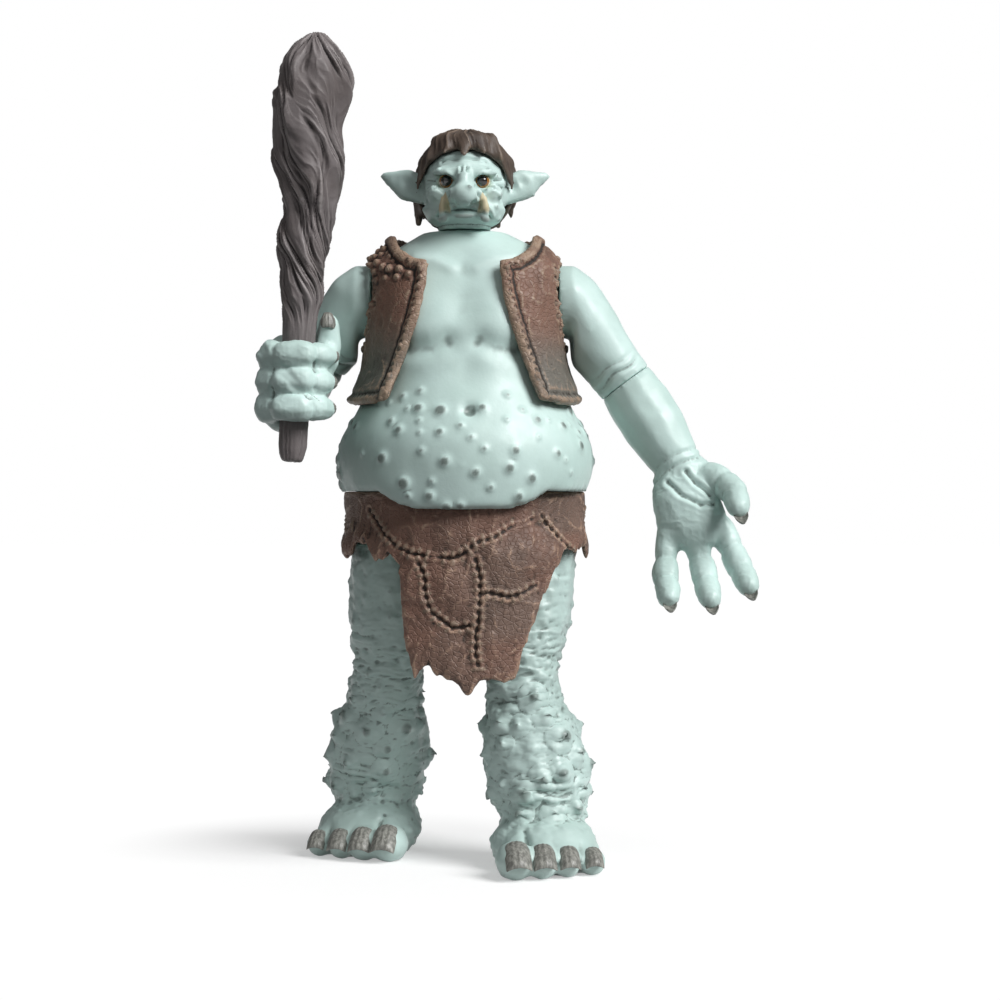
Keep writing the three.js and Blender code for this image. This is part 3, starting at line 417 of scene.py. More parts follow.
    def finish(self, body, slot, material):
        """Dresses the piece and ties it to its body."""
        self.clip()
        dress(self.piece.data, material)
        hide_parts(*self.nodes)
        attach(self.piece, body)


class Blocks:
    """Many small solids gathered into one piece, in millimetres."""

    def __init__(self):
        self.shape = bmesh.new()

    def add(self, points, faces):
        corners = [self.shape.verts.new(Vector(point) * MM) for point in points]
        for face in faces:
            self.shape.faces.new([corners[i] for i in face])

    def piece(self, name, body, slot, material):
        mesh = bpy.data.meshes.new(name)
        bmesh.ops.recalc_face_normals(self.shape, faces=self.shape.faces)
        self.shape.to_mesh(mesh)
        self.shape.free()
        dress(mesh, material)
        piece = put(name, mesh)
        finer = piece.modifiers.new("finer", "SUBSURF")
        finer.levels = finer.render_levels = 1
        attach(piece, body)


# Paints


class Nodes:
    """The nodes of a material or a world, added by short calls."""

    def __init__(self, owner):
        owner.use_nodes = True
        self.tree = owner.node_tree

    def add(self, kind, settings=None, **inputs):
        node = self.tree.nodes.new(kind)
        for key, value in (settings or {}).items():
            setattr(node, key, value)
        for key, value in inputs.items():
            self.feed(node.inputs[key.replace("_", " ")], value)
        return node

    def feed(self, socket, value):
        if isinstance(value, bpy.types.NodeSocket):
            self.tree.links.new(value, socket)
        elif isinstance(value, str):
            socket.default_value = (*srgb(value), 1)
        elif isinstance(value, tuple) and socket.type == "RGBA":
            socket.default_value = (*value, 1)
        else:
            socket.default_value = value

    def maths(self, operation, first, second):
        node = self.add("ShaderNodeMath", {"operation": operation})
        self.feed(node.inputs[0], first)
        self.feed(node.inputs[1], second)
        return node.outputs[0]


class Paint(Nodes):
    """A procedural material."""

    def __init__(self, name, roughness):
        self.material = bpy.data.materials.new(name)
        super().__init__(self.material)
        self.shader = self.tree.nodes["Principled BSDF"]
        self.shader.inputs["Roughness"].default_value = roughness
        self.where = self.add("ShaderNodeTexCoord").outputs["Object"]

    def stretched(self, stretch):
        """The place on the object, scaled along its axes where a stretch is given."""
        if not stretch:
            return self.where
        return self.add("ShaderNodeMapping", Vector=self.where, Scale=stretch).outputs[0]

    def noise(self, size, detail=4, roughness=0.55, stretch=None):
        """Noise with features of that size in millimetres, from 0 to 1."""
        where, scale = self.stretched(stretch), 1 / (size * MM)
        values = {"Vector": where, "Scale": scale, "Detail": detail, "Roughness": roughness}
        return self.add("ShaderNodeTexNoise", **values).outputs["Fac"]

    def cells(self, size, stretch):
        """The distance to the edges of cells of that size in millimetres."""
        where, scale = self.stretched(stretch), 1 / (size * MM)
        settings = {"feature": "DISTANCE_TO_EDGE"}
        return self.add("ShaderNodeTexVoronoi", settings, Vector=where, Scale=scale).outputs["Distance"]

    def mark(self, name):
        return self.add("ShaderNodeAttribute", {"attribute_name": name}).outputs["Fac"]

    def times(self, first, second):
        return self.maths("MULTIPLY", first, second)

    def ramp(self, value, low, high, start=0.0, end=1.0):
        """The value eased from low..high to start..end."""
        limits = {"From_Min": low, "From_Max": high, "To_Min": start, "To_Max": end}
        settings = {"interpolation_type": "SMOOTHSTEP"}
        return self.add("ShaderNodeMapRange", settings, Value=value, **limits).outputs["Result"]

    def mix(self, share, first, second):
        node = self.add("ShaderNodeMix", {"data_type": "RGBA", "clamp_result": True})
        for socket, value in ((0, share), (6, first), (7, second)):
            self.feed(node.inputs[socket], value)
        return node.outputs[2]

    def fade(self, value, low, high, first, second):
        """The first colour below low, the second above high, and a blend between them."""
        return self.mix(self.ramp(value, low, high), first, second)

    def bump(self, height, strength, distance):
        node = self.add("ShaderNodeBump", Strength=strength, Distance=distance * MM, Height=height)
        return node.outputs["Normal"]

    def done(self, colour, roughness=None, normal=None):
        for key, value in (("Base Color", colour), ("Roughness", roughness), ("Normal", normal)):
            if value is not None:
                self.feed(self.shader.inputs[key], value)
        return self.material


def srgb(code):
    """A colour from its screen values in hexadecimal."""

    def linear(value):
        value /= 255
        return value / 12.92 if value <= 0.04045 else ((value + 0.055) / 1.055) ** 2.4

    return tuple(linear(value) for value in bytes.fromhex(code))


def skin_paint():
    paint = Paint("skin_paint", 0.42)
    recess = paint.mark("recess")
    pale = paint.fade(paint.noise(14), 0.35, 0.65, "cce4df", "c3dbd5")
    blotch = paint.ramp(paint.noise(5, 5, 0.62), 0.5, 0.78)
    pale = paint.mix(paint.times(blotch, 0.25), pale, "a8c2bb")
    # painted shade: the skin turns grey green in its hollows and creases
    hollow_shade = paint.times(paint.ramp(recess, 0.56, 1.0), paint.ramp(paint.noise(1.4), 0.25, 0.6, 0.65, 1.0))
    colour = paint.mix(paint.times(hollow_shade, 0.85), pale, "586560")
    # painted highlight: the skin is lighter on its ridges and tips
    colour = paint.mix(paint.ramp(recess, 0.4, 0.08, 0.0, 0.4), colour, "d8eee9")
    # grey on the warts' tips, and over the legs also painted shade
    colour = paint.mix(paint.mark("wart"), colour, "707c77")
    colour = paint.mix(paint.mark("lip"), colour, "807e7a")
    colour = paint.mix(paint.mark("ivory"), colour, "d6cba8")
    gloss = paint.ramp(paint.noise(3), 0.3, 0.7, 0.36, 0.5)
    return paint.done(colour, gloss, paint.bump(paint.noise(0.7, 3), 0.22, 0.12))


def hide_paint(name, warm, grey, dark, light, stain_size):
    paint = Paint(name, 0.6)
    recess = paint.mark("recess")
    base = paint.fade(paint.mark("grey"), 0.0, 1.0, warm, grey)
    stain = paint.ramp(paint.noise(stain_size, 6, 0.6), 0.42, 0.72)
    base = paint.mix(paint.times(stain, 0.5), base, dark)
    # painted highlight: the hide is lighter on its ridges, in patches
    ridge_highlight = paint.times(paint.ramp(recess, 0.46, 0.1), paint.ramp(paint.noise(2.5), 0.3, 0.62, 0.35, 1.0))
    colour = paint.mix(ridge_highlight, base, light)
    # painted shade: the hide's hollows are darkened to half the dark colour
    colour = paint.fade(recess, 0.56, 0.95, colour, tuple(value * 0.5 for value in srgb(dark)))
    colour = paint.mix(paint.mark("thread"), colour, "8c7868")
    creases = paint.ramp(paint.cells(1.15, (1, 1, 1.3)), 0.0, 0.14)
    fine = paint.maths("ADD", creases, paint.times(paint.noise(0.5, 3), 0.5))
    return paint.done(colour, paint.ramp(recess, 0.2, 0.8, 0.48, 0.72), paint.bump(fine, 0.5, 0.22))


def wood_paint():
    paint = Paint("wood_paint", 0.62)
    recess = paint.mark("recess")
    base = paint.fade(paint.noise(9, 5), 0.35, 0.7, "726b6b", "605857")
    # painted highlight: the club is lighter on its ridges
    ridge_highlight = paint.times(paint.ramp(recess, 0.45, 0.1), 0.75)
    colour = paint.mix(ridge_highlight, base, "968f8e")
    # painted shade: the grooves between the strands are almost black
    colour = paint.fade(recess, 0.54, 0.9, colour, "262121")
    relief = paint.bump(paint.noise(0.6, 4, 0.6), 0.4, 0.15)
    return paint.done(colour, paint.ramp(recess, 0.2, 0.8, 0.5, 0.75), relief)


def hair_paint():
    paint = Paint("hair_paint", 0.55)
    recess = paint.mark("recess")
    base = paint.fade(paint.noise(5, 4), 0.35, 0.7, "56483e", "443a34")
    # painted highlight on the ridges of the locks
    colour = paint.mix(paint.ramp(recess, 0.45, 0.1, 0.0, 0.8), base, "847466")
    # painted shade in the grooves between the locks
    colour = paint.fade(recess, 0.54, 0.9, colour, "1a1614")
    return paint.done(colour, normal=paint.bump(paint.noise(0.5, 3), 0.3, 0.1))


def nail_paint():
    paint = Paint("nail_paint", 0.4)
    streak = paint.noise(0.5, 4, stretch=(1, 1, 0.2))
    base = paint.fade(streak, 0.35, 0.65, "6c6c67", "96968f")
    edge = paint.ramp(paint.noise(2.2), 0.45, 0.75)
    colour = paint.mix(paint.times(edge, 0.5), base, "54534f")
    return paint.done(colour, normal=paint.bump(streak, 0.5, 0.2))


def peg_paint():
    paint = Paint("peg_plastic", 0.42)
    base = paint.fade(paint.noise(3), 0.35, 0.65, "96a39f", "a6b2ae")
    return paint.done(base, normal=paint.bump(paint.noise(0.8, 2), 0.1, 0.05))


def eye_paint():
    paint = Paint("eye_paint", 0.12)
    ring = paint.mark("iris")
    veins = paint.ramp(paint.noise(0.35, 4), 0.52, 0.7)
    white = paint.mix(paint.times(veins, 0.35), "e2dcbe", "aa6e54")
    amber = paint.fade(paint.noise(0.2, 3), 0.35, 0.65, "b07620", "703e12")
    colour = paint.fade(ring, 0.46, 0.52, white, amber)
    colour = paint.fade(ring, 0.74, 0.79, colour, "0c0a09")
    paint.shader.inputs["Coat Weight"].default_value = 1.0
    paint.shader.inputs["Coat Roughness"].default_value = 0.04
    return paint.done(colour)


SKIN = skin_paint()
HIDE = hide_paint("vest_hide", "805f50", "6a665e", "40362f", "a48c78", stain_size=7)
KILT_HIDE = hide_paint("kilt_hide", "7e5e50", "68584e", "483a32", "aa8c78", stain_size=9)
WOOD = wood_paint()
HAIR = hair_paint()
NAIL = nail_paint()
PEG = peg_paint()
EYE = eye_paint()


# Legs and feet

ANKLES = {1: (6.2, -4.63, 0.14), -1: (-27.4, 17.37, -0.22)}  # where each ankle stands, and its heading
ANKLE_RADIUS, FOOT_LENGTH, FOOT_WIDTH, TOE_RADIUS = 9.8, 26, 21.5, 4.1


def toes(side):
    """The middle and radius of each toe, from the big one to the smallest, and the foot's heading."""
    x, y, heading = ANKLES[side]
    ahead = np.array([math.sin(heading), -math.cos(heading), 0])
    across = np.array([-ahead[1], ahead[0], 0])
    heel = np.array([x, y, 0]) - ahead * ANKLE_RADIUS
    found = []
    for share in (0, 1 / 3, 2 / 3, 1):
        radius = TOE_RADIUS * (1 - 0.28 * share)
        sideways = side * (-0.35 + 0.71 * share) * FOOT_WIDTH
        forward = FOOT_LENGTH * (1.04 - 0.13 * share * share)
        found.append((heel + ahead * forward + across * sideways + UP * radius * 0.8, radius))
    return found, ahead


def nail(blocks, middle, normal, along, width, length, thick, point=0.0, hook=0.0):
    """A ridged nail, curved from side to side, that narrows and bends down towards its tip."""
    normal = unit(normal)
    along = unit(np.array(along) - normal * (np.array(along) @ normal))
    across = np.cross(along, normal)
    columns, rows = 15, 9
    top, under = [], []
    for i in range(rows):
        v = 2 * i / (rows - 1) - 1
        narrow = 1 - point * smoothstep(-0.2, 1, v) ** 1.5 - 0.25 * smoothstep(-0.5, -1, v)
        for j in range(columns):
            u = 2 * j / (columns - 1) - 1
            place = middle + across * (u * width * narrow) + along * (v * length)
            drop = 0.42 * width * narrow * u * u + hook * max(v, 0) ** 2 * length
            ridge = 0.05 * width * math.cos(u * math.pi * 4.5) * (1 - u * u)
            crown = thick * (1 - 0.8 * u**6) * (1 - 0.7 * abs(v) ** 7)
            top.append(place + normal * (crown + ridge - drop))
            under.append(place - normal * (drop + 0.25 * thick))
    grid = np.arange(rows * columns).reshape(rows, columns)
    number = grid.size
    faces = []
    for a in grid[:-1, :-1].ravel():
        faces.append((a, a + 1, a + columns + 1, a + columns))
        faces.append((a + number, a + columns + number, a + columns + 1 + number, a + 1 + number))
    rim = [*grid[0], *grid[1:, -1], *grid[-1, -2::-1], *grid[-2:0:-1, 0]]
    for a, b in zip(rim, rim[1:] + rim[:1]):
        faces.append((a, a + number, b + number, b))
    blocks.add(top + under, faces)


def band(low, high, slope=2):
    """A test for places between two heights that face up less than slope."""
    return lambda p, n: (p[:, 2] > low) & (p[:, 2] < high) & (n[:, 2] < slope)


def leg(side, seed):
    name = "left_leg" if side > 0 else "right_leg"
    sole, top = np.zeros(3), np.array(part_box(name)[1]) / MM
    clay = Clay(name + "_flesh", [name], voxel=0.55, rounds=30, faces=[(sole, UP), (top, UP)])
    z = clay.at[:, 2]
    feet, ahead = toes(side)
    at_toes = smoothstep(7.5, 4.5, clay.away_from([middle for middle, _ in feet]))
    cleft = np.zeros(len(clay.at))
    for (a, _), (b, _) in zip(feet, feet[1:]):
        middle = (a + b) / 2
        path = [middle - ahead * 5.5 + UP * 5, middle - ahead * 2 + UP * 3.2]
        cleft += clay.crease([*path, middle + ahead * 3, middle - UP * 3], 0.8, 0.7)
    clay.push(cleft)
    warped = clay.at * [1, 1, 3.2] + 1.8 * wander(clay.at, 5, range(seed, seed + 3))
    folds = ridges(warped, 8.0, 3, seed)
    at_knee, at_ankle = bell(z - 36, 9), bell(z - 15, 4)
    amount = np.clip(0.35 + 0.9 * at_knee + 0.6 * at_ankle, 0, 1.1) * (1 - at_toes)
    amount = amount * smoothstep(0.5, 3, z) * (1 - 0.35 * (z > 48))
    clay.push(1.5 * (folds - 0.74) * amount)
    clay.push(0.22 * layered(clay.at, 2.2, 2, seed + 7) * (1 - 0.7 * at_toes))
    dice = np.random.default_rng(seed)
    shank = clay.scatter(38, 3.9, band(9, 33, 0.6), seed)
    spikes = clay.studs(shank, dice, (0.9, 1.75), 1.3, 1.25)
    foot = clay.scatter(60, 1.9, band(1, 12, 0.4), seed + 3)
    pebbles = clay.studs(foot, dice, (0.55, 0.95), 0.55) * (1 - at_toes)
    thigh = clay.scatter(34, 3.4, band(33, 60), seed + 1)
    small = clay.studs(thigh, dice, (0.6, 1.0), 0.6)
    clay.push(spikes + small + pebbles)
    tips = 0.85 * smoothstep(0.75, 1.5, spikes) + 0.6 * smoothstep(0.3, 0.5, small)
    # grey on the warts' tips; the floor of 0.22 is painted shade, darkening the whole leg as if less light
    # fell on it
    clay.mark("wart", np.clip(tips + 0.25 * smoothstep(0.3, 0.5, pebbles), 0.22, 1))
    clay.recess(5, 24, 2.3)
    clay.finish("hips", "skin", SKIN)
    nails = Blocks()
    normal, along = unit(ahead * 0.62 + UP * 0.78), ahead * 0.78 - UP * 0.62
    for middle, r in feet:
        place = middle + ahead * r * 0.62 + normal * r * 0.62
        nail(nails, place, normal, along, width=r * 0.62, length=r * 0.8, thick=0.55, hook=0.12)
    nails.piece(name + "_nails", "hips", "skin", NAIL)


# Torso


def close_seam(shape):
    """Lengthens both halves over the seam between them, so that they make one skin."""
    for corner in shape.verts:
        away = corner.co.y / MM - WAIST[1]
        if abs(away) < 0.2:
            corner.co.y -= math.copysign(0.6 * MM, away)


def torso():
    faces = [(WAIST, UP), (NECK - UP * GAP / 2, UP)]
    nodes = ["torso_front", "torso_back"]
    clay = Clay("torso", nodes, voxel=0.85, rounds=44, faces=faces, flesh=close_seam)
    x, y = (clay.at - WAIST)[:, :2].T
    facing = (clay.out[:, 0] * x + clay.out[:, 1] * y) / np.maximum(np.hypot(x, y), 1)
    outside = smoothstep(0, 0.4, facing)
    clay.extend(WAIST, -UP, 0.9 * GAP)
    height = np.zeros(len(clay.at))
    tree = clay.tree()

    def surface(points):
        """Places on the front, given by how far they lie beside and above the waist."""
        return [ray(tree, (WAIST[0] + px, -80, WAIST[2] + pz), (0, 1, 0)) for px, pz in points]

    for side in (-1, 1):
        under = surface([(side * 3.4, 28.6), (side * 6, 27.4), (side * 10, 27.2), (side * 13, 28.6)])
        height += clay.crease(under, 2.1, 0.85, 0.1)
        height += clay.bumps(surface([(side * 7.5, 32.5)]), 7.5, 1.5)
        collar_bone = surface([(side * 2.5, 43.5), (side * 6, 45.2), (side * 9.5, 45.6)])
        height += clay.crease(collar_bone, 1.4, -0.4)
    height += clay.crease(surface([(0.3, 37), (0.4, 30)]), 3.4, 0.5)
    height += clay.crease(surface([(0, 46), (0.2, 43)]), 3, 0.35)
    height += clay.crease(surface([(0.5, 26), (0.4, 21)]), 2.6, 0.3)
    navel = surface([(1.2, 15.2)])
    height += clay.bumps(navel, 4.5, 0.4) - clay.bumps(navel, 1.6, 1.1)
    height += 0.3 * layered(clay.at, 10, 2, SEED) * outside
    clay.push(height * outside)

    def on_belly(p, n):
        return (p[:, 2] < WAIST[2] + 19) & (p[:, 2] > WAIST[2] - 4) & (np.abs(n[:, 2]) < 0.8)

    warts = clay.scatter(210, 2.3, on_belly, SEED)
    size = np.random.default_rng(SEED).uniform(0.5, 1.15, len(warts))
    raised = clay.bumps(warts, size, size * 0.75)
    pits = clay.bumps(warts, size * 0.45, size * 0.35)
    clay.push((raised - pits) * outside)
    clay.mark("wart", 0.95 * smoothstep(0.25, 0.6, raised))
    clay.recess(3, 24, 3.0)
    return clay


def halves(clay):
    """Parts the torso at its seam into its front and back mouldings."""
    clay.clip()
    for node, side in (("torso_front", -1), ("torso_back", 1)):
        shape = bmesh.new()
        shape.from_mesh(clay.piece.data)
        seam = Vector((0, WAIST[1] + 0.05 * side, 0)) * MM
        everything = [*shape.verts, *shape.edges, *shape.faces]
        made = bmesh.ops.bisect_plane(
            shape, geom=everything, plane_co=seam, plane_no=(0, side, 0), clear_inner=True, dist=1e-7
        )
        rim = [item for item in made["geom_cut"] if isinstance(item, bmesh.types.BMEdge)]
        bmesh.ops.triangle_fill(shape, edges=rim, use_beauty=True, normal=(0, -side, 0))
        mesh = bpy.data.meshes.new(node + "_flesh")
        shape.to_mesh(mesh)
        shape.free()
        dress(mesh, SKIN)
        piece = put(node + "_flesh", mesh)
        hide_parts(node)
        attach(piece, "torso")
    bpy.data.objects.remove(clay.piece)


# Vest and kilt


def node_tree(name):
    return BVHTree.FromObject(frame["nodes"][name], bpy.context.evaluated_depsgraph_get())


def found_ones(places):
    return [place for place in places if place is not None]


def first(find, values):
    """The first place that find gives as its value runs through values."""
    return next((place for place in map(find, values) if place is not None), None)


def rim_places(tree, angles, heights):
    """The first place of a surface at each angle, as the height runs through heights."""
    return found_ones(first(lambda z: around(tree, angle, z), heights) for angle in angles)


ARMHOLE = 8.8  # the radius of a ring on the vest just outside each armhole


def vest_edges():
    """The rims of the vest's outer face: both front edges, the hem, the neckline and the armholes."""
    tree = node_tree("vest")
    fronts, armholes = [], []
    heights = np.arange(91, 121, 1.0)
    for side in (-1, 1):
        angles = side * np.arange(0.1, 1.3, 0.01)
        fronts.append(found_ones(first(lambda a: around(tree, a, z), angles) for z in heights))
        ring = []
        for turn in np.arange(0, TAU + 0.01, 0.12):
            y, z = WAIST[1] + ARMHOLE * math.sin(turn), SHOULDER_Z + ARMHOLE * math.cos(turn)
            start = Vector((WAIST[0] + side * 60, y, z)) * MM
            ring.append(tree.ray_cast(start, Vector((-side, 0, 0)), 0.06)[0])
        armholes.append([np.array(hit) / MM for hit in found_ones(ring)])
    hem = rim_places(tree, np.arange(0.7, TAU - 0.69, 0.06), np.arange(86, 100, 0.1))
    neck = rim_places(tree, np.arange(0.4, TAU - 0.4, 0.06), np.arange(125, 112, -0.1))
    return fronts, hem, neck, armholes


def from_axis(clay, top):
    """How squarely each place of a garment faces away from the body inside it."""
    away = clay.at - WAIST
    away[:, 2] = clay.at[:, 2] - np.minimum(clay.at[:, 2], top)
    return np.einsum("ij,ij->i", clay.out, away / np.linalg.norm(away, axis=1)[:, None])


def vest():
    fronts, hem, neck, armholes = vest_edges()
    clay = Clay("vest_hide", ["vest"], voxel=0.62, rounds=12, thin=True)
    outside = smoothstep(-0.1, 0.35, from_axis(clay, SHOULDER_Z - 4))
    rim = clay.away_from([*fronts[0], *fronts[1], *hem, *neck])
    z = clay.at[:, 2]
    warped = clay.at + 1.4 * wander(clay.at, 6, (60, 61, 62))
    height = 0.55 * (ridges(warped * [1, 1, 0.8], 4.6, 3, 61) - 0.72)
    height += 0.35 * layered(clay.at, 11, 2, 63)
    inner = smoothstep(1.9, 2.7, rim)
    roll = 0.5 * smoothstep(2.2, 1.5, rim)
    height = height * (0.25 + 0.75 * inner) + roll - 0.3 * bell(rim - 2.5, 0.4)
    clay.push(height * outside)
    strokes = []
    for side, front in zip((-1, 1), fronts):
        back = np.array([side, 0.4, 0])
        strokes += clay.sewn(front, 1.75, 1.7, 3.5, lambda place: back)
    strokes += clay.sewn(hem, 1.9, 1.7, 3.3, lambda place: UP)
    hub = np.array([0, WAIST[1], SHOULDER_Z])
    for ring in armholes:
        strokes += clay.sewn(ring, 2.2, 0.5, 2.0, lambda place: (place - hub) * [0, 1, 1])
    threads = clay.beads(strokes, 0.34, 0.42)
    holes = clay.bumps([stroke[1] for stroke in strokes], 0.5, 0.75, 2.5)

    def on_shoulder(p, n):
        beside = (p[:, 0] < WAIST[0] - 8) & (p[:, 1] < WAIST[1] + 9)
        return beside & (p[:, 2] > SHOULDER_Z + 3.5) & (n[:, 2] > -0.2)

    spots = clay.scatter(70, 1.75, on_shoulder, 64)
    dice = np.random.default_rng(64)
    knobs = clay.bumps(spots, dice.uniform(0.55, 0.8, len(spots)), dice.uniform(0.5, 0.85, len(spots)), 2.6)
    knobs = knobs * smoothstep(1.9, 2.9, rim)
    edging = [place for ring in armholes for place in spaced(ring, 1.9)[0]]
    knobs = np.maximum(knobs, clay.bumps(edging, 0.75, 0.5, 2.4))
    clay.push((threads - holes + knobs) * smoothstep(-0.3, 0.2, outside - 0.2))
    clay.mark("grey", smoothstep(112, 94, z + 4 * noise(clay.at, 9, 65)))
    clay.mark("thread", smoothstep(0.12, 0.3, threads))
    clay.recess(3, 20, 3.4)
    clay.finish("torso", "hide", HIDE)


# each seam by degrees from the front towards the left, and by millimetres above the waist
KILT_SEAMS = [
    [(-56, -4), (-44, -9), (-26, -12.5), (-6, -13), (14, -9.5), (30, -6.5), (44, -5)],
    [(7, -13), (9, -20), (6, -28), (9, -35)],
    [(9, -19.5), (24, -20.5), (38, -18)],
    [(-22, -14), (-16, -23), (-4, -27), (6, -26)],
    [(44, -5), (50, -9), (64, -12)],
    [(80, -3), (92, -7), (118, -9)],
    [(128, -3), (138, -12), (158, -16), (176, -13)],
    [(176, -4), (182, -16), (190, -26)],
    [(204, -16), (226, -10), (244, -8)],
    [(262, -3), (274, -8), (292, -7)],
]


def kilt():
    tree = node_tree("kilt")
    hem = rim_places(tree, np.arange(0, TAU, 0.05), np.arange(30, 66, 0.15))
    clay = Clay("kilt_hide", ["kilt"], voxel=0.6, rounds=9, faces=[(WAIST - UP * GAP, UP)], thin=True)
    ragged = 1.1 * layered(clay.at * [1, 1, 0.15], 2.6, 2, 71) + 0.7 * noise(clay.at * [1, 1, 0.1], 1.3, 74)
    clay.at[:, 2] += ragged * smoothstep(4.5, 0.5, clay.away_from(hem))
    clay.write()
    outside = smoothstep(-0.1, 0.35, from_axis(clay, 200))
    outside = outside * smoothstep(WAIST[2] - 0.6, WAIST[2] - 2, clay.at[:, 2])
    warped = clay.at + 1.6 * wander(clay.at, 5, (75, 76, 77))
    height = 0.75 * (ridges(warped * [1, 1, 0.75], 5.2, 4, 76) - 0.72)
    height += 0.25 * layered(clay.at, 9, 2, 78)
    strokes = []
    for i, seam in enumerate(KILT_SEAMS):
        points = found_ones(around(tree, math.radians(angle), WAIST[2] + rise) for angle, rise in seam)
        if len(points) < 2:
            continue
        path = spaced(points, 0.8)[0]
        wavy = path + 0.5 * wander(path, 3, (80 + i, 90 + i, 70 + i))
        height += clay.crease(wavy[::2], 0.42, 0.5, 0.15)
        level = abs(points[0][2] - points[-1][2]) < 12
        side = np.array([0.2, 0, 1.0] if level else [1.0, 0, 0.2])
        strokes += clay.sewn(wavy, 1.7, -1.1, 1.1, lambda place: side, 0.3)
    clay.push(height * outside)
    threads = clay.beads(strokes, 0.36, 0.5)
    holes = clay.bumps([end for stroke in strokes for end in stroke], 0.36, 0.4, 2.5)
    clay.push((threads - holes) * outside)
    clay.mark("grey", 0.6 * smoothstep(-0.4, 0.6, noise(clay.at, 10, 79)))
    clay.mark("thread", smoothstep(0.12, 0.3, threads))
    clay.recess(3, 20, 3.2)
    clay.finish("hips", "hide", KILT_HIDE)


# Arms and hands

FRONT = np.array([0.0, -1, 0])
FOREARM = 19.6  # from elbow to wrist
LEFT_ELBOW = joint_place("left_elbow") + joint_axis("left_elbow") * 0.4
LEFT_WRIST = LEFT_ELBOW + unit((0.515, -0.2, -0.84)) * FOREARM
HAND_DOWN = unit((0.16, -0.25, -0.95))
HAND_OUT = unit(np.cross(FRONT, HAND_DOWN))
RIGHT_WAY = unit((0.05, -0.985, -0.06))
RIGHT_WRIST = joint_place("right_elbow") + joint_axis("right_elbow") * 6.4 + RIGHT_WAY * FOREARM
CLUB_AXIS = joint_axis("club_slide")
CLUB_RADIUS = 3.15  # where the fist holds it
GRIP = RIGHT_WRIST + RIGHT_WAY * 8.45
FIST_ROW = 5.0  # from one finger of the fist to the next


def rings_round(clay, axis, middle, places, wobble, seed):
    """Folds that run round a limb at some distances along its axis."""
    height = np.zeros(len(clay.at))
    along = (clay.at - middle) @ axis + wobble * noise(clay.at, 4, seed)
    for place, width, depth in places:
        height -= depth * bell(along - place, width)
        height += 0.4 * depth * bell(along - place - 1.9 * width, width)
    return height


def off_joint(clay, name):
    """0 at the flat face of a joint and 1 away from it."""
    return smoothstep(0.4, 1.6, np.abs((clay.at - joint_place(name)) @ joint_axis(name)))


def upper_arm(side):
    name = "left" if side > 0 else "right"
    elbow, axis = joint_place(name + "_elbow"), joint_axis(name + "_elbow")
    shoulder_disc = np.array([WAIST[0] + side * 18.7, 0, 0])
    faces = [(elbow, axis), (shoulder_disc, (1, 0, 0))]
    clay = Clay(name + "_upper_arm_flesh", [name + "_upper_arm"], voxel=0.5, rounds=26, faces=faces)
    outer = smoothstep(0.2, 0.7, side * clay.out[:, 0] + 0.4)
    height = clay.bumps([joint_place(name + "_shoulder") + [side * 4, -2, 0]], 8, 0.5) * outer
    height += 0.3 * layered(clay.at, 8, 2, 101 + side)
    inner = elbow - axis * 3 + [side * -2, -5, 0]
    close = smoothstep(9, 4, np.linalg.norm(clay.at - inner, axis=1))
    height += rings_round(clay, axis, elbow, [(-2.2, 0.6, 0.3), (-4.2, 0.55, 0.18)], 0.9, 103) * close
    clay.push(height * off_joint(clay, name + "_elbow"))
    clay.recess(3, 24, 3.0)
    clay.finish(name + "_upper_arm", "skin", SKIN)


def forearm(side, rounds):
    """The forearm's clay, with its flat face brought closer to the upper arm."""
    elbow, axis = joint_place(side + "_elbow"), joint_axis(side + "_elbow")
    faces = [(elbow + axis * GAP, axis)]
    clay = Clay(side + "_forearm_flesh", [side + "_forearm"], voxel=0.42, rounds=rounds, faces=faces)
    clay.extend(elbow + axis * GAP, -axis, 0.2)
    return clay


def knuckles(clay, line, far, near, marks):
    """Swells and folds of a finger, each by its share of the finger's length, its width and its rise."""
    away, along = to_path(clay.at, line)
    whole = np.linalg.norm(np.diff(line, axis=0), axis=1).sum()
    rise = sum(height * bell(along - share * whole, width) for share, width, height in marks)
    return rise * smoothstep(far, near, away)


def fine_lines(clay, size, seed):
    """The fine lines of a hand's skin."""
    return 0.16 * (ridges(clay.at + noise(clay.at, 3, seed)[:, None], size, 2, seed + 1) - 0.72)


def on_hand(along, out, ahead):
    """A place on the open hand: down it from the wrist, out towards the thumb, and in front."""
    return LEFT_WRIST + HAND_DOWN * along + HAND_OUT * out + FRONT * ahead


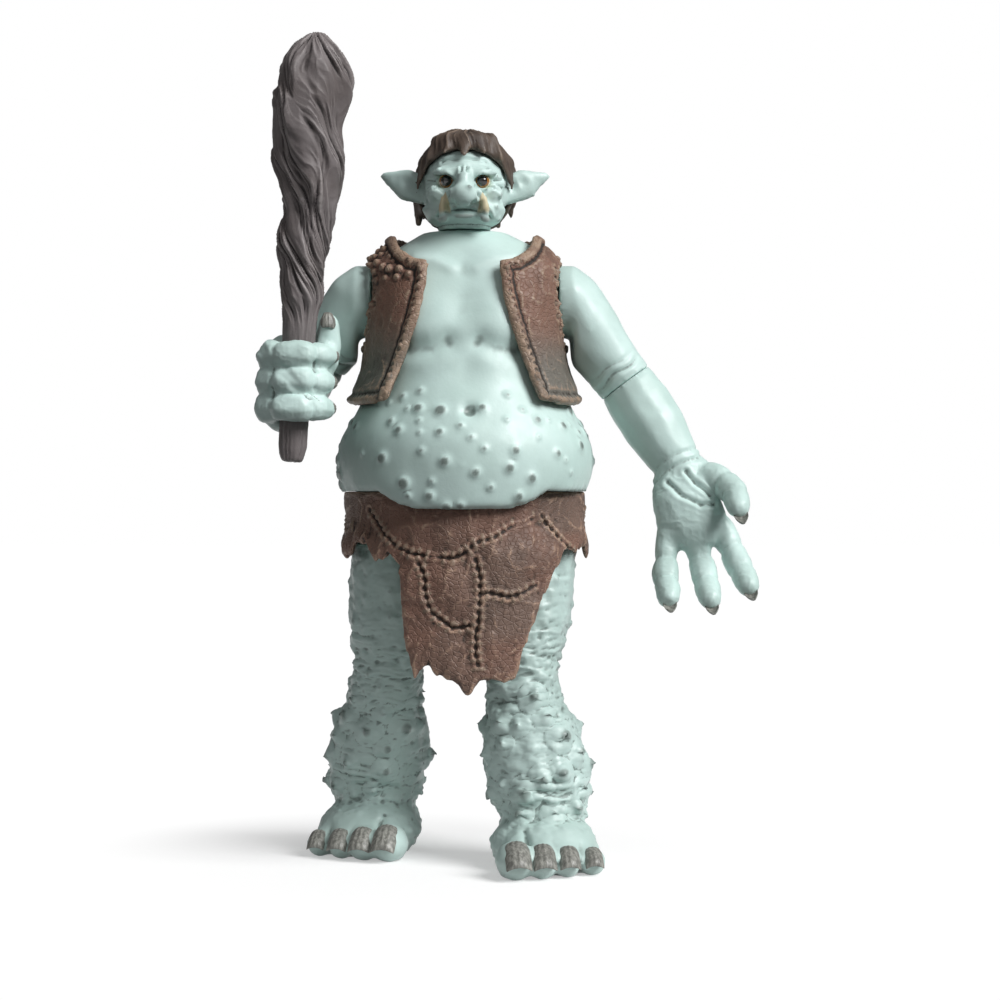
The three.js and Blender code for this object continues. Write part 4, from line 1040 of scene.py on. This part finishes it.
def open_hand():
    clay = forearm("left", 16)
    fingers = []
    root = 10.5
    for out, reach in zip((-4.5, 0.5, 5.5), (15.84, 17.6, 16.19)):
        spread = 0.24 * out
        path = [on_hand(root, out * 0.8, 0.6)]
        for share, sideways, ahead in ((0.4, 1, 0.2), (0.75, 2, 2.2), (0.95, 2.3, 5.6)):
            path.append(on_hand(root + reach * share, out + sideways * spread, ahead))
        fingers.append((smooth_line(path, 25), 2.7))
    thumb = [on_hand(1.5, 3.4, 0.5), on_hand(4, 7, 2.4), on_hand(6.5, 9.2, 5.2), on_hand(10.1, 9.4, 8.6)]
    fingers.append((smooth_line(thumb, 25), 2.85))
    marks = [(share, 0.7, -0.22) for share in (0.12, 0.46, 0.76)]
    marks += [(share, 1.9, 0.15) for share in (0.3, 0.62, 0.93)]
    height = np.zeros(len(clay.at))
    for line, radius in fingers:
        height += knuckles(clay, line, radius * 1.7, radius * 1.2, marks)
    tree = clay.tree()

    def on_palm(points):
        return [ray(tree, on_hand(along, out, 30), -FRONT) for along, out in points]

    height += clay.crease(on_palm([(3, -3), (6, -1), (8.5, 2.5), (9, 5)]), 0.5, 0.4, 0.12)
    height += clay.crease(on_palm([(1.5, 1), (4, 2.2), (7, 4.6)]), 0.5, 0.45, 0.15)
    height += clay.bumps(on_palm([(4.5, -3.4)]), 3.4, 0.6)
    height += clay.bumps(on_palm([(3.5, 4)]), 2.6, 0.7)
    fore = unit(LEFT_WRIST - LEFT_ELBOW)
    height += rings_round(clay, fore, LEFT_WRIST, [(-1.2, 0.6, 0.22), (0.6, 0.5, 0.2)], 0.8, 111)
    height += 0.3 * layered(clay.at, 7, 2, 112)
    clay.push(height * off_joint(clay, "left_elbow"))
    clay.push(fine_lines(clay, 1.8, 113) * smoothstep(4, 0, (clay.at - LEFT_WRIST) @ -HAND_DOWN))
    clay.recess(3, 16, 3.0)
    clay.finish("left_forearm", "skin", SKIN)
    claws = Blocks()
    for line, radius in fingers:
        tip = unit(line[-1] - line[-4])
        back = unit(-FRONT - tip * (-FRONT @ tip))
        middle = line[-1] + tip * radius * 0.95 + back * radius * 0.3
        nail(claws, middle, back, tip, radius * 0.5, radius * 0.85, 0.5, point=0.8, hook=0.35)
    claws.piece("left_hand_nails", "left_forearm", "skin", NAIL)


def round_club(angle, radius, up):
    """A place beside the club's axis, at an angle from the figure's right and some way above the grip."""
    return GRIP + [-radius * math.cos(angle), radius * math.sin(angle), 0] + CLUB_AXIS * up


def fist():
    clay = forearm("right", 9)
    finger_radius = FIST_ROW * 0.53
    curl = CLUB_RADIUS + finger_radius * 0.86
    height = np.zeros(len(clay.at))
    fingers = []
    marks = [(0.3, 1.8, 0.35), (0.62, 1.8, 0.25), (0.46, 0.5, -0.25), (0.78, 0.5, -0.25)]
    for row in (-1, 0, 1):
        turns = (1, 0.2, -0.7, -1.6, -2.4, -3.1)
        line = smooth_line([round_club(turn, curl, row * FIST_ROW) for turn in turns], 40)
        fingers.append(line)
        height += knuckles(clay, line, 4.6, 3.2, marks)
    for row in (-0.5, 0.5):
        turns = (0.7, 0.2, -0.7, -1.6, -2.4, -3.0)
        line = [round_club(turn, curl + finger_radius * 0.8, row * FIST_ROW) for turn in turns]
        height += clay.crease(smooth_line(line, 24), 0.55, 0.6)
    height += 0.25 * layered(clay.at, 6, 2, 121)
    bore = np.linalg.norm(np.cross(clay.at - GRIP, CLUB_AXIS), axis=1)
    free = off_joint(clay, "right_elbow") * smoothstep(3.5, 4.3, bore)
    clay.push(height * free)
    clay.push(fine_lines(clay, 1.6, 123) * free * smoothstep(13, 9, np.linalg.norm(clay.at - GRIP, axis=1)))
    clay.recess(3, 16, 3.0)
    clay.finish("right_forearm", "skin", SKIN)
    nails = Blocks()
    for line in fingers:
        tip = unit(line[-1] - line[-3])
        out = unit(line[-1] - GRIP - CLUB_AXIS * ((line[-1] - GRIP) @ CLUB_AXIS))
        nail(nails, line[-1] + tip * 1.3 + out * 1.6, out, tip, 1.35, 1.6, 0.4, point=0.5, hook=0.2)
    thumb = round_club(2.8, curl, 11) + [0.4, -2.0, 0.9]
    nail(nails, thumb, (0.25, -0.9, 0.35), CLUB_AXIS, 1.5, 1.7, 0.45, point=0.45, hook=0.2)
    nails.piece("right_hand_nails", "right_forearm", "skin", NAIL)


# Club

# each knot by its height above the grip, its angle round the club and its size
KNOTS = [(18, 0.6, 2.3), (27, 3.4, 2.6), (36, 5.2, 2.4), (41, 1.8, 2.8)]
KNOTS += [(50, 4.1, 3.0), (56, 0.2, 2.6), (60, 2.6, 2.4)]


def club():
    clay = Clay("club_strands", ["club"], voxel=0.42, rounds=8)
    second_way = unit(np.cross(CLUB_AXIS, (1, 0, 0)))
    first_way = np.cross(second_way, CLUB_AXIS)
    along = (clay.at - GRIP) @ CLUB_AXIS
    off = clay.at - GRIP - along[:, None] * CLUB_AXIS
    x, y = off @ first_way, off @ second_way
    away, turn = np.hypot(x, y), np.arctan2(y, x)
    gnarl = smoothstep(8.5, 16, along)
    wound = smoothstep(9.1, 30, along)
    strand = turn + 0.075 * along * wound
    strand -= 0.16 * wound * np.sin(2 * strand + 0.22 * along)
    twist = strand + 0.4 * noise(clay.at, 11, 131) * gnarl
    height = np.zeros(len(clay.at))
    for place, angle, size in KNOTS:
        apart = np.arctan2(np.sin(turn - angle), np.cos(turn - angle)) * np.maximum(away, 4)
        square = apart**2 + ((along - place) * 0.6) ** 2
        parted = np.sign(apart) * (1 - np.exp(-np.abs(apart)))
        twist = twist + 0.5 * np.exp(-square / (size * 1.5) ** 2) * parted
        height += 0.9 * np.exp(-square / size**2) * gnarl
    spool = np.stack([6.5 * np.cos(twist), 6.5 * np.sin(twist), along / 7.0], 1)
    strands = ridges(spool, 2.5, 2, 132)
    fine = ridges(spool * [1, 1, 1.3], 1.15, 2, 135)
    height += (1.15 * (strands - 0.78) + 0.65 * (fine - 0.75)) * (0.35 + 0.65 * gnarl)
    height -= 0.3 * (1 - np.abs(np.cos(4 * strand))) * wound
    height += 0.5 * layered(clay.at, 8, 2, 137) * gnarl
    in_grip = smoothstep(9.5, 7.5, np.abs(along + 0.3))
    sunk = np.minimum(height, 0.02) * in_grip + height * (1 - in_grip)
    clay.push(np.where(in_grip > 0, sunk, height))
    clay.recess(2, 14, 2.6)
    clay.finish("club", "wood_paint", WOOD)


# Head and hair

SKULL_SIZE = np.array([8.8, 9.4, 9.2])  # half its width, depth and height
SKULL = np.array([WAIST[0], WAIST[1] - 1.5, NECK[2] + GAP / 2 + SKULL_SIZE[2] * 0.95])
TUSK = ((0.42, 0.98, -0.74), (0.47, 1.14, -0.56), (0.48, 1.15, -0.36))  # its line, in shares of the skull


def head():
    clay = Clay("head_flesh", ["head"], voxel=0.36, rounds=10, faces=[(NECK + UP * GAP / 2, UP)])
    clay.extend(NECK + UP * GAP / 2, -UP, GAP / 2)
    tree = clay.tree()

    def face(points):
        """Places on the front of the face, by shares of the head's half width and half height."""
        width, _, height = SKULL_SIZE
        return [ray(tree, SKULL + [x * width, -40, z * height], (0, 1, 0)) for x, z in points]

    height = np.zeros(len(clay.at))
    eyes = {}
    for side in (-1, 1):
        eye = face([(side * 0.4, 0.03)])[0] + [0, 0.9, 0]
        eyes[side] = eye
        away = np.linalg.norm((clay.at - eye) * [0.85, 1, 1.15], axis=1)
        height -= 1.5 * bell(away, 1.75, 4)
        upper_lid = eye + [[-1.9, -1.4, 0.7], [0, -2.1, 1.5], [1.9, -1.3, 0.7]]
        lower_lid = eye + [[-1.8, -1.4, -0.7], [0, -2.0, -1.4], [1.8, -1.3, -0.7]]
        height += clay.crease(upper_lid, 0.55, -0.5)
        height += clay.crease(lower_lid, 0.5, -0.45)
        bag = face([(side * 0.22, -0.12), (side * 0.42, -0.2), (side * 0.62, -0.1)])
        height += clay.crease(bag, 0.45, 0.35, 0.15)
        fold = face([(side * 0.33, -0.33), (side * 0.48, -0.52), (side * 0.55, -0.68)])
        height += clay.crease(fold, 0.5, 0.45, 0.22)
        for i in range(3):
            crow = face([(side * 0.68, 0.06 - 0.1 * i), (side * 0.84, 0.1 - 0.18 * i)])
            height += clay.crease(crow, 0.3, 0.25, 0.1)
        ear = SKULL + [[side * 9.6, -2.4, 0.2], [side * 12.2, -2.2, 1.2], [side * 14.4, -1.2, 2.2]]
        hollow = clay.bumps(ear, [1.5, 1.5, 1.1], [1.0, 1.1, 0.7], 3)
        height -= 0.9 * hollow * smoothstep(0.1, -0.5, clay.out[:, 1])
        height -= clay.bumps(face([(side * 0.2, -0.5)]), 0.65, 0.9, 2.5)
    mouth = [(-0.58, -0.74), (-0.4, -0.66), (-0.15, -0.63), (0.15, -0.63), (0.4, -0.66), (0.58, -0.74)]
    mouth = np.array(face(mouth))
    height += clay.crease(mouth, 0.42, 0.95)
    lips = clay.crease(mouth - UP * 1.1, 0.7, -0.5) + clay.crease(mouth + UP * 0.9, 0.55, -0.32)
    height += lips
    for z in (0.34, 0.5):
        height += clay.crease(face([(-0.5, z - 0.04), (-0.2, z), (0.2, z), (0.5, z - 0.04)]), 0.4, 0.3, 0.12)
    for side in (-1, 1):
        height += clay.crease(face([(side * 0.07, 0.18), (side * 0.05, 0.32)]), 0.35, 0.4, 0.15)
    tusks = [[SKULL + np.array([side * x, -y, z]) * SKULL_SIZE for x, y, z in TUSK] for side in (-1, 1)]
    ivory = np.maximum(*(smoothstep(1.5, 1.15, to_path(clay.at, tusk)[0]) for tusk in tusks))
    ivory *= smoothstep(-0.72, -0.62, (clay.at[:, 2] - SKULL[2]) / SKULL_SIZE[2])
    clay.push((height + 0.12 * layered(clay.at, 3, 2, 141)) * (1 - ivory))

    def on_cheeks(p, n):
        low = (p[:, 2] < SKULL[2] + 2) & (p[:, 2] > SKULL[2] - 7)
        return low & (n[:, 1] < -0.1) & (np.abs(p[:, 0] - SKULL[0]) > 3.4)

    warts = clay.scatter(13, 1.9, on_cheeks, 143)
    size = np.random.default_rng(143).uniform(0.35, 0.7, len(warts))
    raised = clay.bumps([*warts, *face([(0.12, -0.2)])], [*size, 0.6], [*(size * 0.7), 0.5])
    clay.push(raised * (1 - ivory))
    clay.mark("wart", 0.8 * smoothstep(0.2, 0.45, raised) * (1 - ivory))
    clay.mark("lip", 0.5 * smoothstep(0.15, 0.4, lips))
    clay.mark("ivory", ivory)
    clay.recess(3, 14, 2.6)
    clay.finish("head", "skin", SKIN)
    for side, name in ((-1, "right"), (1, "left")):
        eyeball(name + "_eye", eyes[side] + [0, 0.35, 0], 1.62)


def eyeball(name, middle, radius):
    """An eye with a domed cornea over its iris, looking straight ahead."""
    shape = bmesh.new()
    bmesh.ops.create_uvsphere(shape, u_segments=40, v_segments=28, radius=radius * MM)
    mesh = bpy.data.meshes.new(name)
    shape.to_mesh(mesh)
    shape.free()
    corners = np.empty(len(mesh.vertices) * 3)
    mesh.vertices.foreach_get("co", corners)
    corners = corners.reshape(-1, 3) / MM
    facing = -corners[:, 1] / radius
    corners *= 1 + 0.07 * smoothstep(0.82, 0.97, facing)[:, None]
    mesh.vertices.foreach_set("co", ((corners + middle) * MM).ravel())
    mesh.attributes.new("iris", "FLOAT", "POINT").data.foreach_set("value", facing.astype(np.float32))
    dress(mesh, EYE)
    piece = put(name, mesh)
    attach(piece, "head")


def hair():
    clay = Clay("hair_locks", ["hair"], voxel=0.45, rounds=8)
    away = clay.at - (SKULL + [0, -0.5, 8])
    turn = np.arctan2(away[:, 0], -away[:, 1])
    drop = np.linalg.norm(away, axis=1)
    wave = turn + 0.12 * noise(clay.at, 4, 151)
    comb = np.stack([8 * np.cos(wave), 8 * np.sin(wave), drop / 6], 1)
    strands = 0.85 * (ridges(comb, 2.2, 2, 152) - 0.75) + 0.4 * (ridges(comb, 1.0, 2, 154) - 0.75)
    off_skull = np.linalg.norm((clay.at - SKULL) / (SKULL_SIZE + 0.8), axis=1)
    clay.push((strands + 0.3 * layered(clay.at, 5, 2, 156)) * smoothstep(1.0, 1.08, off_skull))
    clay.recess(2, 12, 2.4)
    clay.finish("head", "hair", HAIR)


leg(1, 21)
leg(-1, 22)
halves(torso())
kilt()
vest()
upper_arm(1)
upper_arm(-1)
open_hand()
fist()
club()
head()
hair()

for node, thing in frame["nodes"].items():
    if node.endswith(("peg", "dowel", "hips")):
        thing.data.materials.clear()
        thing.data.materials.append(SKIN if node == "hips" else PEG)


# Floor, light and camera

FADE = (0.03, 0.085)  # from the middle of the floor, in metres
CAMERA_AWAY = 0.45  # from the waist's axis, in metres
EYE_POINT = Vector((WAIST[0] + 7.05, WAIST[1] - CAMERA_AWAY / MM, WAIST[2] - 2)) * MM
FRAME_WIDTH = 0.2012  # of the view at the waist's axis, in metres
SENSOR = 36


def floor():
    """A pale floor that keeps the shadow near the figure and fades to white away from it."""
    mesh = bpy.data.meshes.new("floor")
    size = 3.0
    corners = [(-size, -size, 0), (size, -size, 0), (size, size, 0), (-size, size, 0)]
    mesh.from_pydata(corners, [], [(0, 1, 2, 3)])
    piece = put("floor", mesh)
    piece.location.x = -0.012
    paint = Paint("floor_white", 0.9)
    path = paint.add("ShaderNodeLightPath")
    seen = paint.maths("MAXIMUM", path.outputs["Is Camera Ray"], path.outputs["Is Glossy Ray"])
    seen = paint.maths("MAXIMUM", seen, path.outputs["Is Transmission Ray"])
    away = paint.add("ShaderNodeVectorMath", {"operation": "LENGTH"}, Vector=paint.where).outputs["Value"]
    ground = paint.fade(away, *FADE, (0.66, 0.66, 0.66), (0.0, 0.0, 0.0))
    paint.shader.inputs["Emission Color"].default_value = (1, 1, 1, 1)
    paint.shader.inputs["Specular IOR Level"].default_value = 0.0
    glow = paint.times(seen, paint.ramp(away, *FADE, 0.4, 1.02))
    paint.feed(paint.shader.inputs["Emission Strength"], glow)
    mesh.materials.append(paint.done(ground))


def world():
    """White where the camera sees it, and a weak even light for everything else."""
    studio = bpy.data.worlds.new("studio")
    bpy.context.scene.world = studio
    nodes = Nodes(studio)
    path = nodes.add("ShaderNodeLightPath").outputs
    seen = nodes.maths("MAXIMUM", path["Is Camera Ray"], path["Is Transmission Ray"])
    strength = nodes.add("ShaderNodeMapRange", Value=seen, To_Min=0.17, To_Max=1.0)
    back = nodes.tree.nodes["Background"].inputs
    nodes.feed(back["Strength"], strength.outputs["Result"])
    back["Color"].default_value = (1, 1, 1, 1)


def sun(name, towards, spread, strength):
    """A wide soft light from one direction."""
    data = bpy.data.lights.new(name, "SUN")
    data.angle = math.radians(spread)
    data.energy = strength
    put(name, data).rotation_euler = Vector(towards).to_track_quat("-Z", "Y").to_euler()


def camera():
    """A level camera at the height of the waist."""
    data = bpy.data.cameras.new("camera")
    data.sensor_width = SENSOR
    data.lens = SENSOR * CAMERA_AWAY / FRAME_WIDTH
    data.clip_start = 0.01
    view = put("camera", data)
    view.location = EYE_POINT
    view.rotation_euler = (math.pi / 2, 0, 0)
    bpy.context.scene.camera = view


floor()
world()
sun("key", (-0.78, 0.52, -0.74), 34, 3.6)
sun("fill", (0.35, 0.9, -0.3), 60, 0.25)
camera()
bpy.context.scene.view_settings.view_transform = "Standard"
